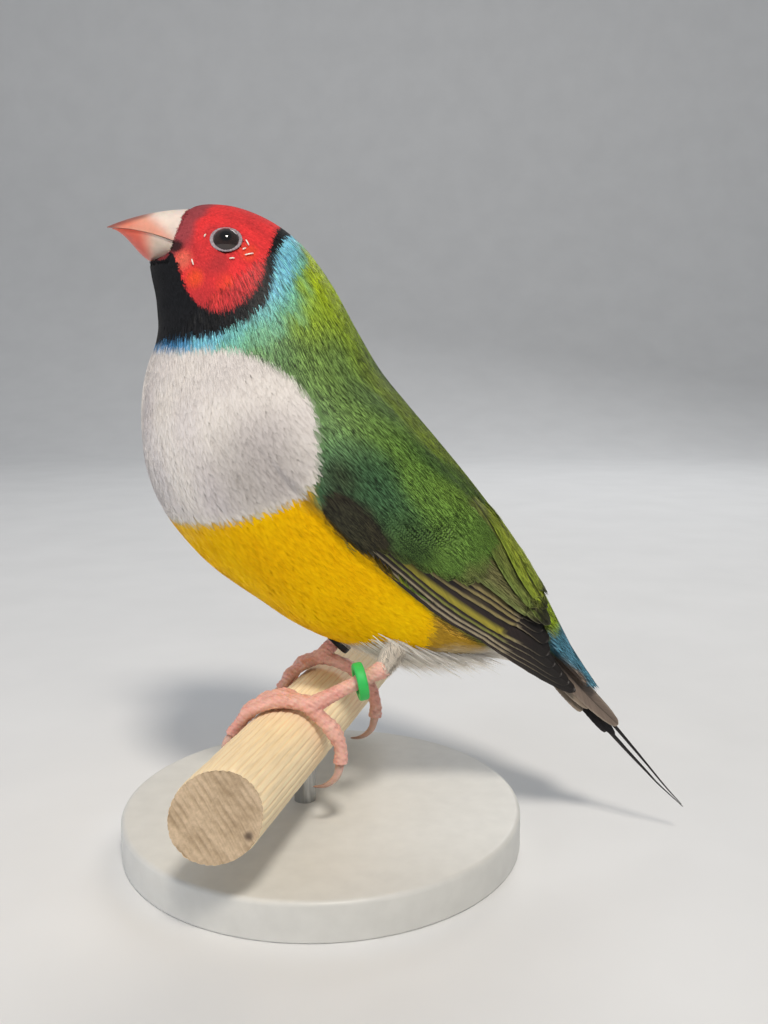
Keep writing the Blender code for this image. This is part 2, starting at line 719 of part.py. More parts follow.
def make_stand(rod_finish, base_finish):
    socket_floor = BASE_HEIGHT - ROD_SOCKET
    rod_top = PERCH_MIDDLE[2] - PERCH_RADIUS + ROD_SOCKET - GAP
    smooth(upright("stand_rod", ROD_RADIUS, socket_floor + GAP, rod_top, PERCH_MIDDLE,
                   rod_finish))
    around = 60
    turn = np.arange(around) * 2 * math.pi / around
    profile = ((BASE_RADIUS - 0.4 * MM, 0.0), (BASE_RADIUS, 0.4 * MM),
               (BASE_RADIUS, BASE_HEIGHT - BASE_CHAMFER),
               (BASE_RADIUS - BASE_CHAMFER, BASE_HEIGHT))
    rings = [np.stack([r * np.cos(turn), r * np.sin(turn), np.full(around, z)], axis=1)
             for r, z in profile]
    base = lofted("stand_base", rings, base_finish)
    hole = upright("hole", ROD_RADIUS + GAP, socket_floor, BASE_HEIGHT + MM, PERCH_MIDDLE)
    return smooth(cut(base, [hole]), 30)


# Legs and feet

# Toes by name: shift along the perch at the tip (outwards), end angle, radius
FRONT_TOES = {
    "outer": (3.4 * MM, 160.0, 1.0 * MM),
    "middle": (0.2 * MM, 173.0, 1.12 * MM),
    "inner": (-3.2 * MM, 155.0, 1.0 * MM),
}
TOE_CLEARANCE = 0.35 * MM
# The hind toe and its claw stand off the perch: angle and distance from its axis
HIND_TOE = ((43.0, 7.8), (28.0, 8.3), (13.0, 8.9), (0.0, 9.25), (-11.0, 9.3))
HIND_CLAW = ((-13.2, 9.3), (-24.0, 9.4), (-34.0, 9.1), (-43.0, 8.5), (-51.0, 7.7))


def ankle(name):
    radius = PERCH_RADIUS + ANKLE_HEIGHT
    return round_perch(FOOT_AXIAL[name], ANKLE_ANGLE[name], radius)


def turned(points, name):
    """Hind toe places, turned with the ankle on the foot that stands further over."""
    share = np.linspace(1, 0, len(points))
    extra = (ANKLE_ANGLE[name] - ANKLE_ANGLE["left"]) * share ** 2
    return [(angle + more, reach) for (angle, reach), more in zip(points, extra)]


def front_toe(name, toe):
    """Path and radii of a front toe: it leaves the ankle and wraps over the perch."""
    shift, end, thick = FRONT_TOES[toe]
    outwards = SIDES[name]
    share = np.linspace(0, 1, 11)
    angle = ANKLE_ANGLE[name] + (end - ANKLE_ANGLE[name]) * share
    axial = FOOT_AXIAL[name] + outwards * shift * np.sin(share * math.pi / 2)
    pads = 1 + 0.09 * np.cos(share * 2 * math.pi * 3)
    radii = thick * (1.06 - 0.26 * share) * pads
    height = PERCH_RADIUS + TOE_CLEARANCE + radii + 0.5 * MM * (1 - share) ** 3
    return round_perch(axial, angle, height), radii


def front_claw(name, toe):
    shift, end, thick = FRONT_TOES[toe]
    outwards = SIDES[name]
    share = np.linspace(0, 1, 6)
    angle = end + 4.2 + 30.0 * share
    radii = thick * 0.56 * (1 - share) ** 0.8 + 0.1 * MM
    height = PERCH_RADIUS + TOE_CLEARANCE + thick * 0.8 + 0.9 * MM * np.sin(share * math.pi)
    height = height - 0.3 * MM * share
    axial = FOOT_AXIAL[name] + outwards * (shift + 0.25 * shift * share)
    return round_perch(axial, angle, height), radii


def hind_path(name, places):
    angle, reach = np.array(places).T
    axial = np.full(len(places), FOOT_AXIAL[name])
    return round_perch(axial, angle, reach * MM)


def make_foot(name, finish):
    start = ankle(name)
    direction = unit(HEEL[name] - start)
    stub = [start - direction * 0.8 * MM, start, start + direction * STUB_LENGTH]
    radii = (1.0 * MM, 1.35 * MM, 1.25 * MM)
    foot = lofted("foot_" + name, tube_rings(stub, radii, 10, 0.1), finish)
    toes = []
    for toe in FRONT_TOES:
        path, radii = front_toe(name, toe)
        toes.append(lofted("toe", tube_rings(path, radii, 8, 0.05 * len(toes))))
    hind = hind_path(name, turned(HIND_TOE, name))
    hind = through(np.concatenate([[start], hind]), np.linspace(0, len(hind), 11))
    share = np.linspace(0, 1, 11)
    radii = 1.25 * MM * (1 - 0.2 * share) * (1 + 0.1 * np.cos(share * 4 * math.pi))
    toes.append(lofted("toe", tube_rings(hind, radii, 8, 0.3)))
    return smooth(join(foot, toes), 60)


def make_claws(name, finish):
    for toe in FRONT_TOES:
        path, radii = front_claw(name, toe)
        claw = lofted(f"claw_{name}_{toe}", tube_rings(path, radii, 7), finish)
        smooth(claw, 60)
    path = hind_path(name, HIND_CLAW)
    path = through(path, np.linspace(0, len(path) - 1, 7))
    radii = 0.62 * MM * np.linspace(1, 0, 7) ** 0.8 + 0.1 * MM
    smooth(lofted(f"claw_{name}_hind", tube_rings(path, radii, 7), finish), 60)


def tarsus_ends(name):
    """The heel, the place where the tarsus meets the foot's stub, and the way between."""
    along = unit(ankle(name) - HEEL[name])
    return HEEL[name], ankle(name) - along * (STUB_LENGTH + GAP), along


def leg_rings(name, wider=0.0):
    """The bare leg from the heel, among the thigh's feathers, to the foot."""
    heel, low, along = tarsus_ends(name)
    share = np.array((0.0, 0.06, 0.15, 0.3, 0.55, 0.8, 1.0))
    path = heel + np.outer(share, low - heel)
    path[0] -= along * wider
    radii = TARSUS_RADIUS * np.array((1.05, 1.3, 1.22, 1.03, 1.0, 1.05, 1.25))
    return tube_rings(path, radii + wider, 12)


def make_leg(name, finish):
    return smooth(lofted("leg_" + name, leg_rings(name), finish), 60)


def make_thigh(name, finish):
    top = THIGH_TOP[name]
    share = np.linspace(0, 1, 6)
    path = top + np.outer(share, HEEL[name] - top)
    radii = THIGH_RADIUS - THIGH_NARROWING * share ** 1.6
    thigh = lofted("thigh_" + name, tube_rings(path, radii, 16), finish)
    body = lofted("body", body_rings(11.0, 18.0, 72, 1.1 * GAP))
    room = lofted("room", leg_rings(name, 1.1 * GAP))
    return smooth(cut(thigh, [body, room]), 50)


def ring_section(_turn):
    """A band with rounded edges."""
    half, thick = RING_WIDTH / 2, RING_OUTER - RING_INNER
    corner = 0.3
    return [(RING_INNER, -half * 0.6), (RING_INNER + thick * corner, -half),
            (RING_OUTER - thick * corner, -half), (RING_OUTER, -half * 0.5),
            (RING_OUTER, half * 0.5), (RING_OUTER - thick * corner, half),
            (RING_INNER + thick * corner, half), (RING_INNER, half * 0.6)]


def make_ring(name, finish):
    """A closed leg ring hangs on the tarsus."""
    heel, low, _ = tarsus_ends(name)
    centre = heel + (low - heel) * RING_PLACE[name] - UP * 0.12 * MM
    ring = hoop("ring_" + name, centre, RING_AXIS[name], ring_section, 24, finish=finish)
    return smooth(ring, 30)


def main():
    clear_scene()
    finishes = make_materials()
    make_head(finishes["mask"])
    make_neck(finishes["nape"])
    make_torso(finishes["plumage"])
    make_eyes(finishes["eye"])
    make_bill(finishes["bill"])
    make_wings(finishes["flight"])
    make_tail(finishes["tail"])
    for name in SIDES:
        make_thigh(name, finishes["thigh"])
        make_leg(name, finishes["leg"])
        make_foot(name, finishes["leg"])
        make_claws(name, finishes["claw"])
    make_ring("left", finishes["green_ring"])
    make_ring("right", finishes["black_ring"])
    make_perch(finishes["perch"])
    make_stand(finishes["rod"], finishes["base"])


main()
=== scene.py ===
"""The looks of a life-size gouldian finch on its perch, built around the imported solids.

The bird faces -X and its left side, which the photograph shows, faces -Y. Shapes are worked out
in millimetres and turned to metres when a mesh is made. A place on the body is a section,
counted from bill to tail, and an angle round it in degrees: 0 is the back's midline, 90 the
left side, 180 the underside and -90 the right side.
"""

import math

import bpy
import numpy as np
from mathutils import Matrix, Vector


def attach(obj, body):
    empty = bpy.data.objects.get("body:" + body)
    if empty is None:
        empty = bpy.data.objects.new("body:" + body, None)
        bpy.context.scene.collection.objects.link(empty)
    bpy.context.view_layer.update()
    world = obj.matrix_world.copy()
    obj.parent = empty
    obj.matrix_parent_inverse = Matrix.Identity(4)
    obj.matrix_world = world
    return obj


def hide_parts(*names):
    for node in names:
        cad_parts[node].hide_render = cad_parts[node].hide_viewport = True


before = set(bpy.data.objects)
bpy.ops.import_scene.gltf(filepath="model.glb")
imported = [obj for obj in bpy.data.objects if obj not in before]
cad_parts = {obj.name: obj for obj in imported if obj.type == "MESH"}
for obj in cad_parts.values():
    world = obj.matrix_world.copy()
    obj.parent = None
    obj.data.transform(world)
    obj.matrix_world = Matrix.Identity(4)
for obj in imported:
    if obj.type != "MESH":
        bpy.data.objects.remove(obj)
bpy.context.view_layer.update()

MM = 0.001
GAP = 0.3
SIDES = {"left": 1, "right": -1}
UP = np.array((0.0, 0.0, 1.0))
dice = np.random.default_rng(20)

# Body sections, bill to tail: back x and z, underside x and z, half width
BODY_SECTIONS = np.array([
    (-18.7, 99.4, -25.5, 91.7, 4.0),
    (-17.3, 99.8, -25.2, 90.4, 4.8),
    (-15.5, 99.9, -24.9, 88.7, 6.1),
    (-12.6, 99.6, -24.4, 86.2, 7.6),
    (-9.6, 98.7, -24.2, 83.6, 8.7),
    (-6.5, 97.2, -24.2, 81.2, 9.4),
    (-3.6, 95.1, -24.8, 78.6, 10.2),
    (-0.8, 92.1, -26.0, 75.4, 11.6),
    (2.4, 87.5, -26.8, 71.4, 13.6),
    (5.8, 81.3, -27.0, 66.0, 15.4),
    (9.4, 75.3, -26.3, 59.8, 16.4),
    (13.6, 70.1, -23.8, 53.6, 16.4),
    (18.2, 64.7, -19.2, 47.5, 15.6),
    (23.0, 58.9, -12.8, 41.1, 14.2),
    (27.6, 52.9, -4.6, 35.0, 12.4),
    (31.6, 47.0, 4.4, 31.2, 10.3),
    (34.8, 41.4, 14.0, 29.8, 8.3),
    (37.4, 36.4, 24.0, 30.6, 6.2),
    (39.8, 31.8, 31.8, 29.2, 4.6),
    (42.2, 27.6, 37.6, 26.0, 3.4),
    (44.2, 24.4, 41.4, 23.2, 2.6),
    (46.4, 21.0, 44.6, 20.0, 2.2),
    (48.6, 17.8, 47.6, 17.0, 1.8),
])
LAST_SECTION = len(BODY_SECTIONS) - 1.0
WING_REAR_FROM = 16
WING_REAR = np.array([
    (34.8, 41.4, 24.4, 35.6, 8.5),
    (37.4, 36.4, 29.4, 32.2, 7.3),
    (39.8, 31.8, 33.8, 29.0, 5.9),
    (42.2, 27.6, 37.6, 26.3, 4.8),
    (44.2, 24.4, 41.0, 23.6, 4.2),
])
PAD_FRONT, PAD_BACK = 9.7, 15.8
PAD_MIDDLE = ((64.0,), (60.0,), (58.0,), (57.0,), (56.0,), (54.0,), (54.0,))
PAD_SPAN = 31.0

# Bill and eyes
FACE_TOP, FACE_LOW = np.array((-18.75, 99.5)), np.array((-21.55, 90.8))
MANDIBLE_SEAT = np.array((-25.7, 91.2))
BILL_TIP = np.array((-31.7, 96.7))
EYE_PLACE = (4.42, 62.5)
EYE_RADIUS, EYE_DEPTH, LID_RADIUS = 2.0, 1.25, 1.98


# Numbers and curves

def unit(vectors):
    vectors = np.asarray(vectors, float)
    return vectors / np.maximum(np.linalg.norm(vectors, axis=-1, keepdims=True), 1e-12)


def through(values, at):
    """A Catmull-Rom curve through evenly counted values."""
    values = np.asarray(values, float)
    at = np.asarray(at, float)
    last = len(values) - 1
    start = np.clip(np.floor(at).astype(int), 0, last - 1)
    t = (at - start)[..., None]
    p0, p1, p2, p3 = (values[np.clip(start + k, 0, last)] for k in (-1, 0, 1, 2))
    bend = (2 * p0 - 5 * p1 + 4 * p2 - p3) * t ** 2 + (3 * p1 - p0 - 3 * p2 + p3) * t ** 3
    return 0.5 * (2 * p1 + (p2 - p0) * t + bend)


def ease(value, low, high):
    """0 below low, 1 above high, and a smooth slope between them."""
    t = np.clip((np.asarray(value, float) - low) / (high - low), 0, 1)
    return t * t * (3 - 2 * t)


def waves(points, size, seed):
    """Smooth random variation from -1 to 1 over points in mm, its blots about size across."""
    turns = np.random.default_rng(seed)
    total = 0
    for _ in range(6):
        way = unit(turns.normal(size=3)) * turns.uniform(0.7, 1.6) * 2 * math.pi / (2 * size)
        total = total + np.sin(points @ way + turns.uniform(0, 2 * math.pi))
    return np.clip(total / 3.2, -1, 1)


def linear(hex_colour):
    """An sRGB hex colour as linear light."""
    parts = np.array([int(hex_colour[k:k + 2], 16) for k in (1, 3, 5)]) / 255
    return np.where(parts <= 0.04045, parts / 12.92, ((parts + 0.055) / 1.055) ** 2.4)


def mixed(one, other, share):
    share = np.asarray(share, float)[..., None]
    return one * (1 - share) + other * share


# The body's surface

def section_point(middle, arm, half_width, angle):
    x = middle[..., 0] + arm[..., 0] * np.cos(angle)
    z = middle[..., 1] + arm[..., 1] * np.cos(angle)
    return np.stack(np.broadcast_arrays(x, -half_width * np.sin(angle), z), axis=-1)


def body_point(section, angle):
    values = through(BODY_SECTIONS, section)
    top, low = values[..., 0:2], values[..., 2:4]
    return section_point((top + low) / 2, (top - low) / 2, values[..., 4], angle)


def wing_point(section, angle):
    """What the folded wing lies on: the body, then the wing's own rear sections."""
    rear = through(WING_REAR, np.clip(section - WING_REAR_FROM, 0, len(WING_REAR) - 1))
    top, edge = rear[..., 0:2], rear[..., 2:4]
    behind = section_point(edge, top - edge, rear[..., 4], angle)
    return mixed(body_point(section, angle), behind,
                 np.clip((section - WING_REAR_FROM + 0.8) / 0.8, 0, 1) + 0 * angle)


class Surface:
    """A surface over sections and angles, read from a fine grid of points and normals."""

    section_step, angle_step = 0.05, math.radians(2)

    def __init__(self, point_at, last=LAST_SECTION):
        self.last = last
        sections = np.arange(0, last + self.section_step / 2, self.section_step)
        angles = np.arange(0, 2 * math.pi - 1e-6, self.angle_step)
        s, a = np.meshgrid(sections, angles, indexing="ij")
        points = point_at(s, a)
        along = np.gradient(points, axis=0) / self.section_step
        over = (np.roll(points, -1, 1) - np.roll(points, 1, 1)) / (2 * self.angle_step)
        normals = unit(np.cross(along, over))
        outwards = points - points.mean(axis=1, keepdims=True)
        flip = np.where((normals * outwards).sum(axis=-1, keepdims=True) < 0, -1, 1)
        self.grid = np.concatenate([points, normals * flip, along, over], axis=-1)

    def read(self, section, angle, first, count):
        rows, columns = self.grid.shape[:2]
        s = np.clip(np.asarray(section, float) / self.section_step, 0, rows - 1.001)
        a = np.mod(np.asarray(angle, float), 2 * math.pi) / self.angle_step
        s, a = np.broadcast_arrays(s, a)
        s0, a0 = s.astype(int), np.minimum(a.astype(int), columns - 1)
        a1 = (a0 + 1) % columns
        t, u = (s - s0)[..., None], (a - a0)[..., None]
        part = self.grid[..., first:first + count]
        return ((part[s0, a0] * (1 - t) + part[s0 + 1, a0] * t) * (1 - u)
                + (part[s0, a1] * (1 - t) + part[s0 + 1, a1] * t) * u)

    def point(self, section, angle, lift=0.0):
        both = self.read(section, angle, 0, 6)
        return both[..., :3] + unit(both[..., 3:]) * np.asarray(lift, float)[..., None]

    def normal(self, section, angle):
        return unit(self.read(section, angle, 3, 3))

    def ways(self, section, angle):
        """How the surface runs along a section and over a radian, in mm."""
        both = self.read(section, angle, 6, 6)
        return both[..., :3], both[..., 3:]


def folded(angle):
    """The angle from the back's midline, the same on both sides, in degrees."""
    turn = np.degrees(np.mod(angle, 2 * math.pi))
    return np.where(turn > 180, 360 - turn, turn)


def on_pad(section, angle):
    """Where a place is on the wing's pad: along it from 0 to 1, across it from -1 to 1."""
    along = (section - PAD_FRONT) / (PAD_BACK - PAD_FRONT)
    middle = through(PAD_MIDDLE, np.clip(along, 0, 1) * (len(PAD_MIDDLE) - 1))[..., 0]
    across = (folded(angle) - middle) / PAD_SPAN
    return along - 0.2 * np.maximum(0, across) * (1 - along), across


def wing_rise(section, angle):
    """How far the wing's coverts stand over the body."""
    along, across = on_pad(section, angle)
    crown = 0.9 + 1.0 * np.sqrt(np.clip(1 - across ** 2, 0, 1))
    crown = crown * (1 - 0.45 * ease(along, 0.6, 1.1))
    sides = ease(across, -1.7, -0.25) * (1 - ease(across, 0.93, 1.0))
    return crown * sides * ease(along, -0.08, 0.3)


def coat_point(section, angle):
    """The body with its wings folded on it, which the small feathers follow."""
    tuck = 1.1 * ease(folded(angle), 125, 165) * ease(section, 12.0, 13.6)
    tuck = tuck * (1 - ease(section, 14.9, 15.8))
    return BODY.point(section, angle, wing_rise(section, angle) - tuck)


BODY = Surface(body_point)
WING_BED = Surface(wing_point, 20.0)
COAT = Surface(coat_point)


def coat_depth(section, angle):
    """From the feathers' tips down to the skin, in mm. The coverts of the tail lie over it."""
    depth = 0.3 + 0.2 * ease(section, 5.5, 9) - 0.15 * ease(section, 15.5, 18.5)
    turn = folded(angle)
    top = np.interp(section, *WING_TOP)
    bare = ease(section, 12.7, 13.2) * ease(turn, top - 1, top + 4) * (1 - ease(turn, 84, 88))
    depth = depth + bare * (wing_rise(section, angle) - 0.2)
    under = 1.5 * ease(section, 16.9, 18.0) * (1 - 0.5 * ease(section, 18.4, 19.4))
    return depth + under * ease(turn, 50, 75)


# Where the folded long feathers begin, from the back's midline: sections and degrees
WING_TOP = ((13.0, 13.7, 14.3, 15.1, 15.8, 16.5, 17.0, 17.6, 18.4, 19.3),
            (12, 17, 21, 27, 34, 41, 52, 62, 74, 90))


# Markings, drawn as lines on the side view (x and z in mm)

HOOD_EDGE = ((-1.7, 100), (-3.5, 96.3), (-4.6, 94.6), (-5.2, 92.5), (-5.6, 90.0), (-5.8, 88.0),
             (-6.1, 85.9), (-6.9, 84.2), (-8.7, 82.5), (-10.9, 81.2), (-13.5, 80.2),
             (-17.4, 79.6), (-22.8, 79.3), (-30, 79.2))
MASK_EDGE = ((-4.2, 100.4), (-5.7, 96.6), (-6.3, 94.2), (-6.8, 92.0), (-7.0, 89.6),
             (-7.5, 87.8), (-8.6, 85.9), (-10.2, 84.5), (-12.3, 83.5), (-14.1, 83.5),
             (-15.6, 84.3), (-16.9, 85.3), (-17.9, 86.3), (-18.7, 88.0), (-19.5, 90.2),
             (-20.2, 91.8), (-21.5, 92.7), (-27, 93.2))
BREAST_TOP = ((-31, 78.4), (-23.3, 78.2), (-19, 77.9), (-14.3, 78.2), (-10.0, 77.9),
              (-7.9, 77.1), (-5.8, 76.1), (-4.1, 75.1), (-2.4, 73.8), (-1.2, 72.4),
              (0.0, 70.8), (0.6, 68.6), (0.9, 65.8), (0.9, 62.6), (1.4, 60.6), (4, 57))
BELLY_TOP = ((3, 62.6), (1.2, 61.0), (0.2, 59.6), (-1.8, 57.6), (-3.9, 56.6), (-6.1, 55.6),
             (-8.1, 54.9), (-10.5, 54.2), (-13.6, 53.5), (-16.8, 53.1), (-19.5, 52.9),
             (-22.7, 53.1), (-31, 54))
WING_EDGE = ((0.3, 74), (0.9, 67.2), (0.6, 61.6), (0.2, 57.6), (1.7, 54.5), (4.4, 51.5),
             (7.6, 48.8), (11.1, 45.6), (14.7, 42.3), (19.1, 38.6), (23.9, 34.9),
             (27.4, 32.2), (31.5, 29.0), (45, 19))
VENT_EDGE = ((40, 27.5), (28, 32.0), (23.8, 33.6), (20.7, 34.2), (17.4, 33.4), (14, 32.9),
             (11.7, 33.3), (8.6, 34.0), (5.8, 33.6), (4.0, 32.4), (3.2, 31.0), (0, 28))
NAPE_EDGE = ((-1.2, 99), (-2.2, 93.7), (-1.9, 92.6), (-2.2, 90.6), (-2.8, 87.5), (-3.9, 84.7),
             (-6.1, 82.6), (-8.8, 80.8), (-10.8, 79.7), (-12.6, 78.9), (-15, 77.6), (-31, 77))
RUMP_EDGE = ((41.5, 40.5), (38.0, 36.6), (36.2, 34.4), (33.4, 31.0), (31, 27))

SCARLET, CRIMSON, ORANGE = linear("#E53A3C"), linear("#8A3438"), linear("#F0552E")
SOOT = linear("#1B1C1F")
# Grey of the painted shade on the lower breast
BREAST_SHADE_GREY = linear("#A9A29E")
LUMINANCE = np.array((0.2126, 0.7152, 0.0722))


SKY, DEEP_BLUE, TURQUOISE = linear("#86D2EE"), linear("#3A7AAE"), linear("#7CC4AE")
LEAF, GREEN, DARK_GREEN = linear("#8DB52C"), linear("#4E8A2F"), linear("#2C5A30")
SEA_GREEN, OLIVE = linear("#3F8068"), linear("#7E8E2A")
SILK, LILAC = linear("#F3EFEE"), linear("#E4DCE8")
GOLD, AMBER, OCHRE = linear("#FFD000"), linear("#F2B600"), linear("#A88430")
UMBER, DOWN = linear("#2C2722"), linear("#EEE8DE")
TAIL_BLUE = linear("#3F93B8")


def right_of(line, x, z):
    """Distance in mm from a line on the side view, positive to the right of its run."""
    line = np.array(line, float)
    best = np.full(np.shape(x), np.inf)
    signed = np.zeros(np.shape(x))
    for a, b in zip(line[:-1], line[1:]):
        step = b - a
        share = np.clip(((x - a[0]) * step[0] + (z - a[1]) * step[1]) / step.dot(step), 0, 1)
        away = np.hypot(x - a[0] - share * step[0], z - a[1] - share * step[1])
        cross = (x - a[0]) * step[1] - (z - a[1]) * step[0]
        nearer = away < best
        signed = np.where(nearer, np.where(cross > 0, away, -away), signed)
        best = np.minimum(best, away)
    return signed


def near(x, z, place, size):
    """1 at a place of the side view and 0 from that far away on."""
    return 1 - ease(np.hypot(x - place[0], z - place[1]) / size, 0.2, 1)


def plumage(points, section, angle, ragged=None):
    """The feathers' colour at points of the body, in linear light."""
    x, z = points[..., 0], points[..., 2]
    shift = 0 if ragged is None else ragged
    side = folded(angle)
    blots, fine = waves(points, 5.0, 3), waves(points, 1.6, 4)

    def within(line, width, push=0.0):
        return ease(right_of(line, x, z) + shift + push, -width, width)

    # Green back, from lime at the nape over leaf green to blue-green at the wing's bend
    nape = right_of(NAPE_EDGE, x, z)
    back = mixed(GREEN, OLIVE, 0.8 * (1 - ease(side + 8 * blots, 14, 46)))
    back = mixed(back, SEA_GREEN, 0.75 * ease(side + 9 * blots, 50, 74)
                 * (1 - ease(section, 12.3, 13.6)))
    back = mixed(back, LEAF, 0.75 * (1 - ease(section, 8.4, 11.5)) * (1 - ease(side, 36, 66)))
    back = mixed(back, LIME, (1 - ease(section, 7.6, 9.6)) * (1 - ease(side, 44, 68)))
    back = mixed(back, DARK_GREEN, 0.6 * ease(blots, 0.0, 0.9) * ease(section, 8.6, 10))
    low_neck = ease(-z, -88, -84)
    beyond = ease(nape + 0.8 * fine, -1.3 - 3.2 * low_neck, -0.3)
    back = mixed(back, NECK_GREEN, ease(nape + 0.8 * fine, -3.2 - 3.0 * low_neck, -1.2)
                 * ease(side, 20, 40) * 0.75)
    back = mixed(back, TURQUOISE, beyond * ease(side, 10, 24) * 0.8)
    back = mixed(back, SEA_GREEN, 0.5 * ease(side, 56, 78) * ease(section, 9.0, 9.8)
                 * (1 - ease(section, 10.6, 12)))
    back = mixed(back, LIME, 0.5 * ease(section, 14.9, 16.2) * (1 - ease(side, 35, 60)))
    back = mixed(back, MANTLE_GREEN, 0.45 * ease(section, 8.0, 9.4) * (1 - ease(section, 10.6, 12))
                 * ease(side, 22, 40) * (1 - ease(side, 78, 92)))
    back = mixed(back, TAN_EDGE, 0.6 * ease(section + 0.25 * fine, 14.1, 14.9)
                 * ease(side, 42, 52) * (1 - ease(side, 82, 90)))
    patch = sum(near(x, z, place, size) for place, size in BROWN_PATCH) * ease(side, 62, 72)
    # Painted shade: the wing is darkened towards umber just behind its front edge
    back = mixed(back, UMBER, 0.6 * near(x, z, (3.6, 60.4), 5.0) * ease(side, 60, 72))
    wisps = waves(points, 0.8, 6)
    colour = mixed(back, UMBER, np.clip(1.6 * patch + 0.35 * (fine + wisps) * patch, 0, 0.93))

    blue = mixed(SKY, DEEP_BLUE, 0.9 * ease(side + 6 * fine, 96, 124))
    blue = mixed(blue, TURQUOISE, 0.7 * ease(1.6 + 1.2 * low_neck - nape + fine, 0, 2.2)
                 * (1 - ease(side, 84, 100)))
    colour = mixed(colour, blue, within(NAPE_EDGE, 0.9, 0.5 * fine))

    front = within(WING_EDGE, 0.7)
    above_belly = within(BELLY_TOP, 0.5)
    gold = mixed(GOLD, AMBER, np.clip(0.3 + 0.35 * blots, 0, 1))
    gold = mixed(gold, OCHRE, 0.8 * near(x, z, (0.2, 58.2), 3.6))
    gold = mixed(gold, OCHRE, 0.85 * ease(-right_of(REAR_FLANK, x, z), -0.6, 0.6))
    colour = mixed(colour, gold, front * (1 - above_belly) * ease(section, 9, 9.5))
    vent = (1 - within(VENT_EDGE, 1.0)) * ease(section, 13.6, 14.4) * front
    # The vent's down is white underneath and tan at its sides: partly the down's own tint, partly painted shade
    colour = mixed(colour, mixed(TAN_SHADED_DOWN, DOWN, ease(side, 126, 150)), vent)
    white = mixed(SILK, PEARL, np.clip(0.3 + 0.4 * blots, 0, 1))
    # Painted shade: the breast is greyed round its lower middle
    white = mixed(white, BREAST_SHADE_GREY, 0.6 * near(x, z, (-6.5, 61.0), 12.0))
    white = mixed(white, DOWN, 0.5 * ease(2.2 - right_of(BELLY_TOP, x, z), 0, 2.2))
    colour = mixed(colour, white, within(BREAST_TOP, 0.5) * above_belly
                   * (1 - ease(section, 12.5, 13)))

    tail = ease(section, 16.6, 17.2)
    tail_blue = mixed(TAIL_BLUE, TAIL_TEAL, np.clip(0.4 + 0.5 * fine, 0, 1))
    colour = mixed(colour, tail_blue, (1 - within(RUMP_EDGE, 0.9)) * tail
                   * (1 - ease(side, 78, 96)))
    colour = mixed(colour, TAUPE, ease(section, 17.8, 18.5) * ease(side + 5 * fine, 54, 66))
    colour = mixed(colour, DOWN, ease(section, 16.2, 17.0) * ease(side, 86, 104))
    colour = mixed(colour, SOOT, within(HOOD_EDGE, 0.22))

    red = mixed(SCARLET, CRIMSON, np.clip(0.12 + 0.2 * fine + 0.15 * blots, 0, 0.5))
    red = mixed(red, CRIMSON, 0.4 * ease(-z, -89.5, -84.5))
    # Painted shade: a darker crimson spot on the cheek below the eye
    red = mixed(red, CRIMSON, 0.45 * near(x, z, (-13.8, 90.2), 2.4))
    lores = ease(right_of(LORES_EDGE, x, z) + 0.4 * fine, -1.0, 0.8)
    red = mixed(red, LORES_TONE, 0.9 * lores)
    red = mixed(red, SALMON, 0.8 * near(x, z, (-18.9, 91.2), 2.1))
    # Painted highlights: orange patches on the cheek and behind the eye
    painted_highlight = (near(x, z, (-17.2, 88.6), 2.0) + near(x, z, (-12.6, 87.9), 1.9)
            + 0.7 * near(x, z, (-9.4, 92.2), 1.8) + 0.4 * near(x, z, (-13.6, 85.2), 1.6))
    red = mixed(red, ORANGE, np.clip(0.8 * painted_highlight * (0.7 + 0.5 * fine), 0, 0.9))
    colour = mixed(colour, red, within(MASK_EDGE, 0.2))
    gape = near((x + 20.3) * 0.62, z - 93.2, (0, 0), 1.3)
    return mixed(colour, SOOT, np.clip(1.2 * gape, 0, 0.9))


# Materials

def new_material(name):
    made = bpy.data.materials.new(name)
    made.use_nodes = True
    tree = made.node_tree
    return made, tree, tree.nodes["Principled BSDF"]


def add(tree, kind, settings=None, links=None):
    """One node with its settings, as attributes or socket values, and its incoming links."""
    node = tree.nodes.new(kind)
    for name, value in (settings or {}).items():
        if hasattr(node, name):
            setattr(node, name, value)
        else:
            node.inputs[name].default_value = value
    for name, source in (links or {}).items():
        tree.links.new(source, node.inputs[name])
    return node


def settle(shader, **values):
    """Sets the shader's own sockets, given with underscores for their spaces."""
    for name, value in values.items():
        shader.inputs[name.replace("_", " ")].default_value = value


